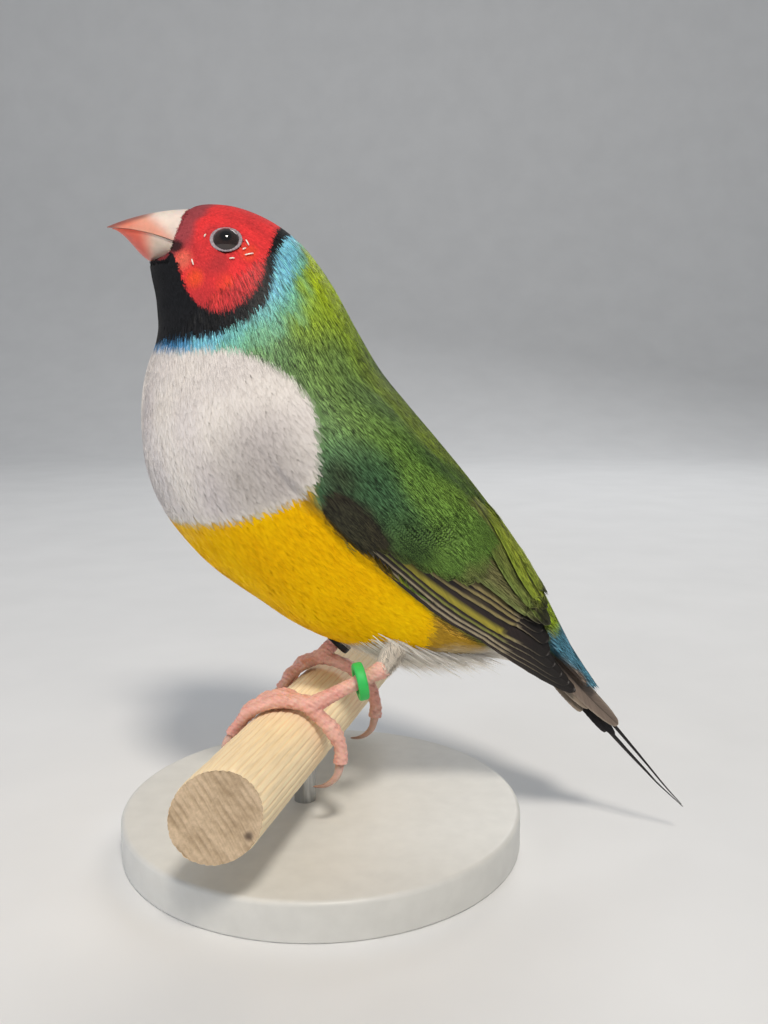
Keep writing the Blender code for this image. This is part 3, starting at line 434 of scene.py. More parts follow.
def feather_material(name, roughness, sheen, streak, coarse=5.0, bars=0.0, gloss=0.35,
                     relief=0.0):
    """Feather keratin. Barbs streak each vane from root to tip, as fine light and dark lines."""
    made, tree, shader = new_material(name)
    colour = add(tree, "ShaderNodeAttribute", {"attribute_name": "plumage"})
    vane = add(tree, "ShaderNodeAttribute", {"attribute_name": "vane"})
    spread = add(tree, "ShaderNodeVectorMath", {"operation": "MULTIPLY"},
                 {0: vane.outputs["Vector"]})
    spread.inputs[1].default_value = (coarse, 0.55, 61.0)
    barbs = add(tree, "ShaderNodeTexNoise", {"Scale": 1.0, "Detail": 2.0, "Roughness": 0.6},
                {"Vector": spread.outputs["Vector"]})
    depth = add(tree, "ShaderNodeMapRange",
                {"From Min": 0.3, "From Max": 0.72, "To Min": 1 - streak, "To Max": 1 + streak},
                {"Value": barbs.outputs["Fac"]})
    tone = depth.outputs["Result"]
    if bars:
        place = add(tree, "ShaderNodeAttribute", {"attribute_name": "bars"})
        ripple = add(tree, "ShaderNodeTexWave",
                     {"wave_type": "BANDS", "bands_direction": "X", "Scale": 0.5,
                      "Distortion": 2.6, "Detail": 1.5, "Detail Scale": 1.6},
                     {"Vector": place.outputs["Vector"]})
        dark = add(tree, "ShaderNodeMapRange",
                   {"From Min": 0.25, "From Max": 0.62, "To Min": 1 - bars, "To Max": 1.12},
                   {"Value": ripple.outputs["Fac"]})
        shown = add(tree, "ShaderNodeMix", {"data_type": "FLOAT"},
                    {"Factor": place.outputs["Alpha"], "B": dark.outputs["Result"]})
        shown.inputs["A"].default_value = 1.0
        both = add(tree, "ShaderNodeMath", {"operation": "MULTIPLY"},
                   {0: tone, 1: shown.outputs["Result"]})
        tone = both.outputs["Value"]
    toned = add(tree, "ShaderNodeVectorMath", {"operation": "SCALE"},
                {0: colour.outputs["Color"], "Scale": tone})
    tree.links.new(toned.outputs["Vector"], shader.inputs["Base Color"])
    if relief:
        bump = add(tree, "ShaderNodeBump", {"Strength": 0.35, "Distance": relief * MM},
                   {"Height": barbs.outputs["Fac"]})
        tree.links.new(bump.outputs["Normal"], shader.inputs["Normal"])
    settle(shader, Roughness=roughness, Sheen_Weight=sheen, Sheen_Roughness=0.4,
           Specular_IOR_Level=gloss)
    return made


def surface_material(name, low, high, scale_mm, roughness, bump_mm, stretch=(1, 1, 1),
                     attribute=None, detail=3.0, **values):
    """A solid material whose colour wanders between two tones, with a fine relief."""
    made, tree, shader = new_material(name)
    if attribute:
        place = add(tree, "ShaderNodeAttribute", {"attribute_name": attribute})
        source = place.outputs["Vector"]
    else:
        place = add(tree, "ShaderNodeTexCoord")
        source = place.outputs["Object"]
    spread = add(tree, "ShaderNodeVectorMath", {"operation": "MULTIPLY"}, {0: source})
    spread.inputs[1].default_value = np.array(stretch, float)
    scale = 1 / (scale_mm * MM)
    noise = add(tree, "ShaderNodeTexNoise", {"Scale": scale, "Detail": detail},
                {"Vector": spread.outputs["Vector"]})
    ramp = add(tree, "ShaderNodeValToRGB", links={"Fac": noise.outputs["Fac"]})
    ramp.color_ramp.elements[0].position, ramp.color_ramp.elements[1].position = 0.32, 0.68
    ramp.color_ramp.elements[0].color = (*linear(low), 1)
    ramp.color_ramp.elements[1].color = (*linear(high), 1)
    tree.links.new(ramp.outputs["Color"], shader.inputs["Base Color"])
    bump = add(tree, "ShaderNodeBump", {"Strength": 0.5, "Distance": bump_mm * MM},
               {"Height": noise.outputs["Fac"]})
    tree.links.new(bump.outputs["Normal"], shader.inputs["Normal"])
    settle(shader, Roughness=roughness, **values)
    return made


def tinted_material(name, roughness, grain_mm, bump_mm, change=0.12, **values):
    """A material whose tones come with the mesh, mottled a little, with a fine relief."""
    made, tree, shader = new_material(name)
    colour = add(tree, "ShaderNodeAttribute", {"attribute_name": "tint"})
    place = add(tree, "ShaderNodeTexCoord")
    noise = add(tree, "ShaderNodeTexNoise", {"Scale": 1 / (grain_mm * MM), "Detail": 3.0},
                {"Vector": place.outputs["Object"]})
    depth = add(tree, "ShaderNodeMapRange",
                {"From Min": 0.3, "From Max": 0.7, "To Min": 1 - change, "To Max": 1 + change},
                {"Value": noise.outputs["Fac"]})
    toned = add(tree, "ShaderNodeVectorMath", {"operation": "SCALE"},
                {0: colour.outputs["Color"], "Scale": depth.outputs["Result"]})
    tree.links.new(toned.outputs["Vector"], shader.inputs["Base Color"])
    bump = add(tree, "ShaderNodeBump", {"Strength": 0.6, "Distance": bump_mm * MM},
               {"Height": noise.outputs["Fac"]})
    tree.links.new(bump.outputs["Normal"], shader.inputs["Normal"])
    settle(shader, Roughness=roughness, **values)
    return made


# Meshes

def grid_faces(count, rows, columns, wrap=False):
    """Quads of that many grids of points, one after the other."""
    across = columns if wrap else columns - 1
    i, j = np.meshgrid(np.arange(rows - 1), np.arange(across), indexing="ij")
    k = (j + 1) % columns
    quads = np.stack([i * columns + j, i * columns + k, (i + 1) * columns + k,
                      (i + 1) * columns + j], axis=-1).reshape(-1, 4)
    shift = np.arange(count)[:, None, None] * rows * columns
    return (quads[None] + shift).reshape(-1, 4)


def make_piece(name, points, faces, material, colours=None, vectors=None, bake=None,
               colour_name="plumage", smooth=True):
    """One mesh from points in mm and quads or triangles, riding on the model."""
    points = np.asarray(points, float).reshape(-1, 3)
    mesh = bpy.data.meshes.new(name)
    sizes = np.array([len(face) for face in faces]) if isinstance(faces, list) else None
    corners = (np.concatenate([np.asarray(f) for f in faces]) if sizes is not None
               else np.asarray(faces).reshape(-1))
    if sizes is None:
        sizes = np.full(len(faces), faces.shape[1])
    mesh.vertices.add(len(points))
    mesh.vertices.foreach_set("co", (points * MM).astype(np.float32).reshape(-1))
    mesh.loops.add(len(corners))
    mesh.loops.foreach_set("vertex_index", corners.astype(np.int32))
    mesh.polygons.add(len(sizes))
    starts = np.concatenate([[0], np.cumsum(sizes)[:-1]]).astype(np.int32)
    mesh.polygons.foreach_set("loop_start", starts)
    mesh.polygons.foreach_set("use_smooth", np.full(len(sizes), smooth))
    if colours is not None:
        layer = mesh.attributes.new(colour_name, "FLOAT_COLOR", "POINT")
        rgba = np.concatenate([np.asarray(colours).reshape(-1, 3), np.ones((len(points), 1))], 1)
        layer.data.foreach_set("color", rgba.astype(np.float32).reshape(-1))
    for key, values in (vectors or {}).items():
        values = np.asarray(values, np.float32)
        if values.shape[-1] == 4:
            layer = mesh.attributes.new(key, "FLOAT_COLOR", "POINT")
            layer.data.foreach_set("color", values.reshape(-1))
        else:
            layer = mesh.attributes.new(key, "FLOAT_VECTOR", "POINT")
            layer.data.foreach_set("vector", values.reshape(-1))
    if bake is not None:
        uv = np.asarray(bake, np.float32).reshape(-1, 2)[corners]
        for layer_name in ("Lie", "OFBake"):
            layer = mesh.uv_layers.new(name=layer_name)
            layer.data.foreach_set("uv", uv.reshape(-1))
    mesh.materials.append(material)
    mesh.update(calc_edges=True)
    mesh.validate()
    thing = bpy.data.objects.new(name, mesh)
    bpy.context.scene.collection.objects.link(thing)
    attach(thing, "root")
    return thing


def unwrapped(section, angle):
    """A place on the unwrap of the body's skin."""
    u = 0.01 + 0.97 * np.asarray(section) / LAST_SECTION
    return np.stack(np.broadcast_arrays(u, np.mod(angle, 2 * math.pi) / (2 * math.pi) * 0.98
                                        + 0.01), axis=-1)


BAKE_PATCH = 0.003


# Small feathers

def scatter(first, last, low, high, pitch, surface=None):
    """Rooting places in staggered, slightly uneven rows. pitch gives mm between them by section.

    low and high are angles in degrees. The rows run round the body.
    """
    surface = surface or COAT
    angles = np.radians(np.linspace(low, high, 181))
    section, row, places = first, 0, []
    while section < last:
        along, over = surface.ways(np.full(181, section), angles)
        gap = pitch(section)
        widths = np.linalg.norm(over, axis=-1)
        reach = np.concatenate([[0], np.cumsum((widths[1:] + widths[:-1]) / 2
                                               * np.diff(angles))])
        count = max(2, int(reach[-1] / gap))
        spots = (np.arange(count) + 0.5 * (row % 2)
                 + dice.uniform(-0.36, 0.36, count)) * reach[-1] / count
        angle = np.interp(np.mod(spots, reach[-1]), reach, angles)
        step = gap / np.median(np.linalg.norm(along, axis=-1))
        places.append(np.stack([section + step * dice.uniform(-0.45, 0.45, count), angle], 1))
        section += step
        row += 1
    places = np.concatenate(places)
    return places[:, 0], places[:, 1]


TUFT = {"along": (0.0, 0.4, 0.74, 1.0), "width": (0.5, 1.0, 0.86, 0.34), "columns": 4}
HAIR = {"along": (0.0, 0.5, 1.0), "width": (0.9, 1.0, 0.1), "columns": 2}
ROUND = {"along": (0.0, 0.3, 0.58, 0.8, 0.93, 1.0), "width": (0.5, 0.92, 1.0, 0.88, 0.62, 0.2),
         "columns": 5}


def grow(places, length, width, tip_lift, turn=0.0, form=TUFT, bow=0.12, roll=0.0,
         ragged=0.1, surface=None, colour_at=0.75, shade=(0.82, 1.06), jitter=0.07,
         tone=1.0, push=0.0, sink=3):
    """Vanes or hairs, rooted in the skin and following the surface towards the tail.

    length, width and tip_lift are in mm and may differ for each feather; turn in radians
    turns a feather's lie towards larger angles. push moves the markings' lines over it, and
    a larger sink brings it out of the coat nearer to its root.
    """
    surface = surface or COAT
    section, angle = places
    count = len(section)

    def each(value):
        return np.broadcast_to(np.asarray(value, float), (count,))[:, None, None]

    depth = each(coat_depth(section, angle) + 0.06)
    length, width, tip_lift, turn, roll = map(each, (length, width, tip_lift, turn, roll))
    along, over = surface.ways(section, angle)
    normal = surface.normal(section, angle)
    ahead = unit(along)
    beside = unit(np.cross(normal, ahead))
    beside = beside * np.sign((beside * over).sum(-1, keepdims=True))
    bend = turn[:, 0]
    lie = ahead * np.cos(bend) + beside * np.sin(bend)
    cross = beside * np.cos(bend) - ahead * np.sin(bend)
    aa, ao, oo = (along * along).sum(-1), (along * over).sum(-1), (over * over).sum(-1)
    span = np.maximum(aa * oo - ao ** 2, 1e-6)

    def steps(way):
        wa, wo = (along * way).sum(-1), (over * way).sum(-1)
        return ((oo * wa - ao * wo) / span)[:, None, None], (
            (aa * wo - ao * wa) / span)[:, None, None]

    (lie_s, lie_a), (cross_s, cross_a) = steps(lie), steps(cross)
    rows, columns = len(form["along"]), form["columns"]
    t = np.array(form["along"])[None, :, None] * np.ones((count, 1, columns))
    c = np.linspace(-1, 1, columns)[None, None, :] * np.ones((count, rows, 1))
    lift = tip_lift * t - depth * (1 - t) ** sink
    uneven = dice.uniform(-ragged, ragged, (count, 1, columns))
    t = t * (1 + uneven * t ** 3) - 0.1 * np.abs(c) ** 2 * t ** 4
    half = np.array(form["width"])[None, :, None] * width / 2
    s = section[:, None, None] + lie_s * length * t + cross_s * half * c
    a = angle[:, None, None] + lie_a * length * t + cross_a * half * c
    lift = lift - bow * width * c ** 2 + roll * half * c
    points = surface.point(s, a, lift)
    spot = colour_at * length[:, 0, 0]
    at_s = section + lie_s[:, 0, 0] * spot
    at_a = angle + lie_a[:, 0, 0] * spot
    base = plumage(surface.point(at_s, at_a), at_s, at_a, push + dice.normal(0, 0.12, count))
    pale = ease(base @ LUMINANCE, 0.56, 0.68)[:, None]
    tone = np.reshape(tone, (-1, 1))
    base = base * (1 + dice.normal(0, jitter, (count, 1))) * (tone + (1 - tone) * 0.85 * pale)
    # Painted shade: each feather is darker at its root, where the feathers over it shade it
    light = shade[0] + (shade[1] - shade[0]) * np.clip(t, 0, 1)
    colours = np.clip(base[:, None, None, :] * light[..., None], 0, 1)
    own = dice.uniform(0, 1, count)[:, None, None] + 0 * t
    vane = np.stack([c, t * (length / 1.5), own], axis=-1)
    root = unwrapped(section, angle)[:, None, None, :]
    bake = root + BAKE_PATCH * np.stack([t, c * 0.5 + 0.5], axis=-1)
    return {"points": points, "colours": colours, "vane": vane, "bake": bake,
            "length": length, "width": width, "c": c, "t": t, "at": (at_s, at_a)}


def coat_piece(name, parts, material, bars=None):
    """Joins grown parts of the coat in one mesh."""
    points, colours, vanes, bakes, faces, bar_values = [], [], [], [], [], []
    shift = 0
    for k, part in enumerate(parts):
        count, rows, columns = part["points"].shape[:3]
        faces.append(grid_faces(count, rows, columns) + shift)
        shift += count * rows * columns
        for store, key in ((points, "points"), (colours, "colours"), (vanes, "vane"),
                           (bakes, "bake")):
            store.append(part[key].reshape(-1, part[key].shape[-1]))
        if bars is not None:
            bar_values.append(bars(part).reshape(-1, 4))
    vectors = {"vane": np.concatenate(vanes)}
    if bars is not None:
        vectors["bars"] = np.concatenate(bar_values)
    return make_piece(name, np.concatenate(points), np.concatenate(faces), material,
                      np.concatenate(colours), vectors, np.concatenate(bakes), smooth=False)


def face_line_x(z):
    share = (z - FACE_LOW[1]) / (FACE_TOP[1] - FACE_LOW[1])
    return FACE_LOW[0] + (FACE_TOP[0] - FACE_LOW[0]) * share


def before_face(points, margin):
    """Whether points lie where the bill is, in front of the face and over the chin."""
    x, z = points[..., 0], points[..., 2]
    return (x < face_line_x(z) + margin) & (z > MANDIBLE_SEAT[1] - margin)


def eye_frame(side):
    place, angle = EYE_PLACE[0], side * math.radians(EYE_PLACE[1])
    centre = BODY.point(place, angle, -EYE_DEPTH)
    return centre, BODY.normal(place, angle)


def kept(places, test):
    section, angle = places
    keep = test(section, angle)
    return section[keep], angle[keep]


def clear_of_face(section, angle, margin=0.12, eye_room=2.05):
    points = COAT.point(section, angle)
    keep = ~before_face(points, margin)
    for side in SIDES.values():
        centre, _ = eye_frame(side)
        keep &= np.linalg.norm(points - centre, axis=-1) > math.hypot(EYE_DEPTH, eye_room)
    return keep


def off_wing(section, angle):
    """Whether a place is outside the wing's own coverts and folded feathers."""
    along, across = on_pad(section, angle)
    coverts = (along > 0.06) & (along < 0.8) & (across > -0.68) & (across < 1.0)
    turn = folded(angle)
    top = np.interp(section, *WING_TOP)
    low = np.interp(section, (12.8, 15.0, 16.4, 17.8, 19.35), (86, 86, 88, 88, 90))
    behind = (section > 13.0) & (section < 19.2) & (turn > top) & (turn < low)
    return ~(coverts | behind)


def sizes(places, scale):
    section, _ = places
    return scale(section) * dice.uniform(0.82, 1.18, len(section))


def make_coat():
    """The small feathers of head, neck, breast, belly, back and rump."""
    velvet = feather_material("velvet_mask_feathers", 0.8, 0.04, 0.12, 3.0, gloss=0.12)
    silk = feather_material("silky_breast_feathers", 0.6, 0.12, 0.04, 5.0, gloss=0.2)
    golden = feather_material("golden_belly_feathers", 0.6, 0.0, 0.06, 5.0, gloss=0.08)
    back = feather_material("glossy_back_feathers", 0.5, 0.0, 0.3, 6.0, gloss=0.28)

    def behind_mask(section, angle):
        points = COAT.point(section, angle)
        return right_of(MASK_EDGE, points[:, 0], points[:, 2]) < 0.25

    def on_mask(section, angle):
        return ~behind_mask(section, angle)

    for name, test, gap, shade, jitter in (
            ("mask_feathers", on_mask, (0.17, 0.006), (0.92, 1.06), 0.08),
            ("hood_feathers", behind_mask, (0.25, 0.014), (0.9, 1.08), 0.12)):
        places = kept(scatter(0.02, 6.1, -180, 180, lambda s: gap[0] + gap[1] * s), test)
        places = kept(places, clear_of_face)
        length = sizes(places, lambda s: 2.8 * gap[0] + 0.09 * s + 0.1)
        part = grow(places, length, gap[0] * 2.1, 0.03, dice.normal(0, 0.14, len(length)),
                    STUBBLE, 0.02, shade=shade, jitter=jitter, colour_at=0.6, sink=6)
        coat_piece(name, [part], velvet)

    places = scatter(5.8, 8.7, -180, 180, lambda s: 0.33 + 0.02 * (s - 5.8))
    length = sizes(places, lambda s: 2.2)
    part = grow(places, length, 0.42, 0.05, dice.normal(0, 0.07, len(length)), HAIRY,
                0.04, shade=(0.95, 1.02), jitter=0.04)
    fine = hair_over(places, 16000, (1.8, 3.6), 0.07, (0.25, 0.5, 0.75, 1.4, 1.6), spread=0.06)
    coat_piece("neck_feathers", [part, fine], back)

    def front(section, angle):
        points = COAT.point(section, angle)
        pale = (right_of(WING_EDGE, points[:, 0], points[:, 2]) > -0.6) & (
            right_of(BREAST_TOP, points[:, 0], points[:, 2]) > -1.0)
        return pale | (folded(angle) > 96)

    def uncovered(section, angle):
        """Whether nothing of the wing grows here: off the wing, or before its front edge."""
        points = COAT.point(section, angle)
        before = right_of(WING_EDGE, points[:, 0], points[:, 2]) > -0.5
        by_tail = (section > 17.1) & (folded(angle) > 64) & (folded(angle) < 118)
        return (off_wing(section, angle) | before) & ~by_tail

    pale_spots = scatter(8.4, 18.4, -180, 180, lambda s: 0.5 - 0.12 * ease(s, 15.5, 18))
    for name, material, tones, test in (
            ("breast_feathers", silk, (0.9, 0.97, 1.04), lambda s, a: s < 11.4),
            ("belly_feathers", golden, (0.78, 0.92, 1.1), lambda s, a: s >= 11.4)):
        places = kept(kept(kept(pale_spots, front), uncovered), test)
        length = sizes(places, lambda s: 3.2 - 1.0 * ease(s, 15, 18))
        part = grow(places, length, 0.85, dice.uniform(0.02, 0.08, len(length)),
                    dice.normal(0, 0.1, len(length)), SOFT, 0.02, shade=(0.97, 1.01),
                    jitter=0.02, ragged=0.2)
        fine = hair_over(places, 10000, (2.0, 3.4), 0.06, tones, spread=0.13)
        coat_piece(name, [part, fine], material)

    dark_spots = scatter(8.4, 19.25, -180, 180, lambda s: 0.41 - 0.05 * ease(s, 15.5, 18))
    for name, test in (("mantle_feathers", lambda s, a: s < 11.6),
                       ("rump_feathers", lambda s, a: s >= 11.6)):
        places = kept(kept(kept(dark_spots, lambda s, a: ~front(s, a)), uncovered), test)
        length = sizes(places, lambda s: 2.9 - 1.2 * ease(s, 15, 18))
        part = grow(places, length, 0.5, 0.05, dice.normal(0, 0.07, len(length)), HAIRY,
                    0.04, shade=(0.93, 1.03), jitter=0.06)
        fine = hair_over(places, 17000, (1.8, 3.8), 0.09, (0.16, 0.35, 0.6, 1.5, 2.0),
                         spread=0.06)
        fine_ends = fine["at"][0] < 19.7
        for key in ("points", "colours", "vane", "bake"):
            fine[key] = fine[key][fine_ends]
        coat_piece(name, [part, fine], back)


def make_skin():
    """One skin under the whole coat, closed at the bill and at the tail."""
    sections = np.arange(0, 19.41, 0.1)
    angles = np.radians(np.arange(0, 360, 2.0))
    s, a = np.meshgrid(sections, angles, indexing="ij")
    points = COAT.point(s, a, -coat_depth(s, a))
    seat = before_face(points, 0.15)
    to_face = face_line_x(points[..., 2]) + 0.15 - points[..., 0]
    to_chin = points[..., 2] - (MANDIBLE_SEAT[1] - 0.15)
    face_first = to_face < to_chin
    points[..., 0] += np.where(seat & face_first, to_face, 0)
    points[..., 2] -= np.where(seat & ~face_first, to_chin, 0)
    colours = plumage(COAT.point(s, a), s, a)
    # Painted shade between the feathers: the skin takes the feathers' colour, darkened, least where it is red
    colours = colours * (0.6 + 0.38 * ease(colours[..., :1], 0.4, 0.7))
    bake = unwrapped(s, a)
    rows, columns = s.shape
    faces = [list(face) for face in grid_faces(1, rows, columns, wrap=True)]
    ends = np.stack([points[0].mean(axis=0), points[-1].mean(axis=0)])
    first = rows * columns
    for j in range(columns):
        k = (j + 1) % columns
        faces.append([k, j, first])
        faces.append([(rows - 1) * columns + j, (rows - 1) * columns + k, first + 1])
    all_points = np.concatenate([points.reshape(-1, 3), ends])
    colours = np.concatenate([colours.reshape(-1, 3), colours[0, :1], colours[-1, :1]])
    bake = np.concatenate([bake.reshape(-1, 2), bake[0, :1], bake[-1, :1]])
    material = feather_material("down_over_skin", 0.8, 0.0, 0.0, gloss=0.1)
    vane = np.zeros((len(all_points), 3))
    skin = make_piece("body_skin", all_points, faces, material, colours,
                      {"vane": vane}, bake)
    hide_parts("head", "neck", "torso")
    return skin


# Bill

def mouth_height(share):
    return BILL_TIP[1] - 0.15 - 2.5 * (1 - share) ** 1.6


def seat_x(heights):
    return face_line_x(heights) - 0.15


def bill_half(name, crown, top_of, low_of, width_of, material):
    shares = np.sin(np.linspace(0, math.pi / 2, 40)) * 0.995
    turn = np.linspace(0, math.pi, 41)
    rings, tints = [], []
    for share in shares:
        top, low, width = top_of(share), low_of(share), width_of(share)
        flat, edge = (low, top) if crown else (top, low)
        heights = flat + (edge - flat) * np.sin(turn) ** 0.8
        tip_x = BILL_TIP[0] + (0.0 if crown else 0.8)
        x = (1 - share) * seat_x(heights) + share * tip_x
        y = width * np.cos(turn)
        inner = np.linspace(width, -width, 15)[1:-1]
        hollow = flat + (0.25 if crown else -0.25) * (1 - share) * (1 - (inner / width) ** 2)
        closing = np.stack([np.full(13, (1 - share) * seat_x(flat) + share * tip_x),
                            -inner, hollow], axis=1)
        ring = np.concatenate([np.stack([x, y, heights], axis=1), closing])
        rings.append(ring)
        tints.append(bill_tint(ring, crown, share, flat, edge))
    rings = np.array(rings)
    rows, columns = rings.shape[:2]
    faces = [list(face) for face in grid_faces(1, rows, columns, wrap=True)]
    faces.append(list(range(columns)))
    faces.append(list(range(rows * columns - 1, (rows - 1) * columns - 1, -1)))
    piece = make_piece(name, rings, faces, material, np.array(tints),
                       colour_name="tint")
    piece.data.set_sharp_from_angle(angle=math.radians(50))
    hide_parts(name.replace("_horn", ""))
    return piece


IVORY, BLUSH, CORAL = linear("#EFE0D4"), linear("#E9A48C"), linear("#E8694C")
RED_TIP, HORN_SHADE = linear("#D63A2C"), linear("#B9887A")


def bill_tint(ring, crown, share, flat, edge):
    """Ivory at the base, coral towards the tip and pink along the mouth, dusky on the ridge."""
    x, z = ring[:, 0], ring[:, 2]
    if crown:
        colour = mixed(IVORY, BLUSH, ease(share + 0.11 * (98.2 - z), 0.3, 0.6))
        colour = mixed(colour, CORAL, 0.85 * ease(share + 0.05 * (97.5 - z), 0.5, 0.85))
        colour = mixed(colour, BLUSH, 0.6 * ease(0.9 - (z - flat), 0, 0.8) * ease(share, 0.1, 0.3))
        dusk = ease(share, 0.32, 0.55) * ease(z - edge, -1.3, -0.35)
        tip = ease(share, 0.9, 0.98)
        return mixed(colour, HORN_DUSK, np.clip(0.8 * dusk + 0.5 * tip, 0, 0.85))
    colour = mixed(CREAM, BLUSH, ease(share, 0.22, 0.5) * 0.7)
    colour = mixed(colour, IVORY, 0.5 * ease(1.2 - (flat - z), 0, 1) * (1 - ease(share, 0.2, 0.5)))
    colour = mixed(colour, RED_TIP, 0.8 * ease(share + 0.05 * (flat - z), 0.38, 0.66))
    return mixed(colour, CORAL, 0.7 * ease(0.9 - (flat - z), 0, 0.8) * ease(share, 0.3, 0.7))


def make_bill():
    # Keratin horn over bone: polished by use, a little translucent, so satin with soft edges
    horn = tinted_material("polished_bill_horn", 0.3, 0.9, 0.02, 0.05, Coat_Weight=0.25,
                           Coat_Roughness=0.2, Subsurface_Weight=0.25,
                           Subsurface_Scale=0.6 * MM)

    def culmen(share):
        return BILL_TIP[1] + (99.25 - BILL_TIP[1]) * (1 - share ** 1.9)

    def keel(share):
        deep = math.sin(min(1.0, (1 - share) / 0.68) * math.pi / 2) ** 1.6
        return BILL_TIP[1] - 0.3 - 4.9 * deep

    bill_half("bill_upper_horn", True, culmen, lambda s: mouth_height(s) + 0.06,
              lambda s: 4.0 * (1 - s ** 1.5) + 0.1, horn)
    bill_half("bill_lower_horn", False, lambda s: mouth_height(s) - 0.06, keel,
              lambda s: 3.65 * (1 - s ** 1.6) + 0.1, horn)


# Eyes

def square_to(axis):
    """Two directions square to an axis and to each other."""
    first = unit(np.cross(axis, UP if abs(axis[2]) < 0.9 else (1.0, 0.0, 0.0)))
    return first, np.cross(axis, first)


def turned_form(centre, axis, profile, around):
    """Points of a form turned about an axis: profile holds (out, along) pairs in mm."""
    axis = unit(axis)
    first, second = square_to(axis)
    turn = np.arange(around) * 2 * math.pi / around
    spokes = np.outer(np.cos(turn), first) + np.outer(np.sin(turn), second)
    return np.array([centre + spokes * out + axis * along for out, along in profile])


def make_eyes():
    # A wet cornea over a nearly black brown iris: mirror smooth, with a clear coat
    wet, tree, shader = new_material("wet_dark_eye")
    tint = add(tree, "ShaderNodeAttribute", {"attribute_name": "tint"})
    tree.links.new(tint.outputs["Color"], shader.inputs["Base Color"])
    settle(shader, Roughness=0.08, IOR=1.376, Coat_Weight=1.0, Coat_Roughness=0.01)
    lid = surface_material("bare_grey_lid", "#857B82", "#B4AAB0", 0.25, 0.8, 0.03,
                           Specular_IOR_Level=0.25)
    brown, pupil = linear("#2A1C18"), linear("#050404")
    ball_radius, ball_depth = 2.2, 1.22
    for name, side in SIDES.items():
        centre, axis = eye_frame(side)
        centre = centre + axis * (EYE_DEPTH - ball_depth)
        bow = np.linspace(0, math.pi, 40)
        profile = [(ball_radius * math.sin(b), ball_radius * math.cos(b)) for b in bow]
        rings = turned_form(centre, axis, profile, 64)
        shades = np.stack([mixed(pupil, brown, ease(out, 0.7, 1.0)) + np.zeros((64, 3))
                           for out, _ in profile])
        ball = make_piece("eyeball_" + name, rings, grid_faces(1, 40, 64, wrap=True), wet,
                          shades, colour_name="tint")
        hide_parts("eye_" + name)

        turn = np.arange(120) * 2 * math.pi / 120
        first, second = square_to(unit(axis))
        spin = np.arange(10) * 2 * math.pi / 10
        ring = []
        for t in turn:
            beads = 1 + 0.1 * math.sin(30 * t) + dice.uniform(-0.05, 0.05)
            reach = 1.88 * (1 + 0.085 * math.cos(2 * t))
            way = first * math.cos(t) + second * math.sin(t)
            out = reach + 0.28 * beads * np.cos(spin)
            along = ball_depth - 0.1 + 0.15 * beads * np.sin(spin)
            ring.append(centre + np.outer(out, way) + np.outer(along, axis))
        make_piece("eyelid_" + name, np.array(ring + ring[:1]),
                   grid_faces(1, 121, 10, wrap=True), lid)


# Long feathers of wings and tail

VANE_COLUMNS = np.array((-1.0, -0.88, -0.74, -0.42, -0.1, -0.04, 0.0, 0.04, 0.1, 0.42, 0.74,
                         0.88, 1.0))


def long_vane(path, normals, widths, tilt, shaft=0.0, camber=0.1, thick=0.14, paint=None,
              notches=0.0, key=0.0):
    """A flight or tail feather as a thin closed vane with a raised shaft.

    Columns run from the inner edge at -1 to the outer one at 1, and shaft shifts the shaft
    towards the outer edge, as on real flight feathers.
    """
    path, normals = np.asarray(path, float), unit(normals)
    rows = len(path)
    share = np.linspace(0, 1, rows)
    tangents = unit(np.gradient(path, axis=0))
    sideways = unit(np.cross(normals, tangents))
    lean = sideways * np.cos(tilt) + normals * np.sin(tilt)
    up = normals * np.cos(tilt) - sideways * np.sin(tilt)
    columns = VANE_COLUMNS
    place = columns + shaft * (1 - columns ** 2)
    half = np.asarray(widths)[:, None] / 2
    edge = 1 + notches * np.abs(columns) ** 6 * np.sin(share[:, None] * 90 + 17 * columns)
    out = place * half * edge
    rise = (-camber * half * 2 * place ** 2
            + 0.1 * np.clip(1 - np.abs(columns) / 0.07, 0, 1) * (1 - 0.7 * share[:, None]))
    top = path[:, None] + out[..., None] * lean[:, None] + rise[..., None] * up[:, None]
    body = np.reshape(thick, (-1, 1)) * np.clip(1.15 - columns ** 4, 0.2, 1)
    body = body * (1 - 0.5 * share[:, None])
    low = top - body[..., None] * up[:, None]
    points = np.concatenate([top, low[:, ::-1]], axis=1)
    across = np.concatenate([columns, columns[::-1]])
    c = np.broadcast_to(across, (rows, len(across)))
    t = np.broadcast_to(share[:, None], c.shape)
    length = np.linalg.norm(np.diff(path, axis=0), axis=1).sum()
    slant = t * length * 0.9 - np.abs(c) * half * 1.4
    vane = np.stack([slant * 2.2, c * 0.9, np.full(c.shape, key)], axis=-1)
    return {"points": points, "colours": paint(c, t), "vane": vane,
            "bake": np.stack([(c + 1) / 2, t], axis=-1)}


def vane_piece(name, vanes, material, replaced):
    """Joins long vanes in one mesh, each with a strip of the bake map to itself."""
    points, faces, colours, vectors, bakes = [], [], [], [], []
    shift = 0
    for k, vane in enumerate(vanes):
        rows, columns = vane["points"].shape[:2]
        faces += (grid_faces(1, rows, columns, wrap=True) + shift).tolist()
        faces.append([shift + j for j in range(columns)])
        faces.append([shift + rows * columns - 1 - j for j in range(columns)])
        shift += rows * columns
        points.append(vane["points"].reshape(-1, 3))
        colours.append(vane["colours"].reshape(-1, 3))
        vectors.append(vane["vane"].reshape(-1, 3))
        bake = vane["bake"].reshape(-1, 2) * (0.9 / len(vanes), 0.96)
        bakes.append(bake + ((k + 0.05) / len(vanes), 0.02))
    more = {"vane": np.concatenate(vectors)}
    if "bars" in vanes[0]:
        more["bars"] = np.concatenate([vane["bars"].reshape(-1, 4) for vane in vanes])
    piece = make_piece(name, np.concatenate(points), faces, material,
                       np.concatenate(colours), more, np.concatenate(bakes))
    if replaced:
        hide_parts(replaced)
    return piece


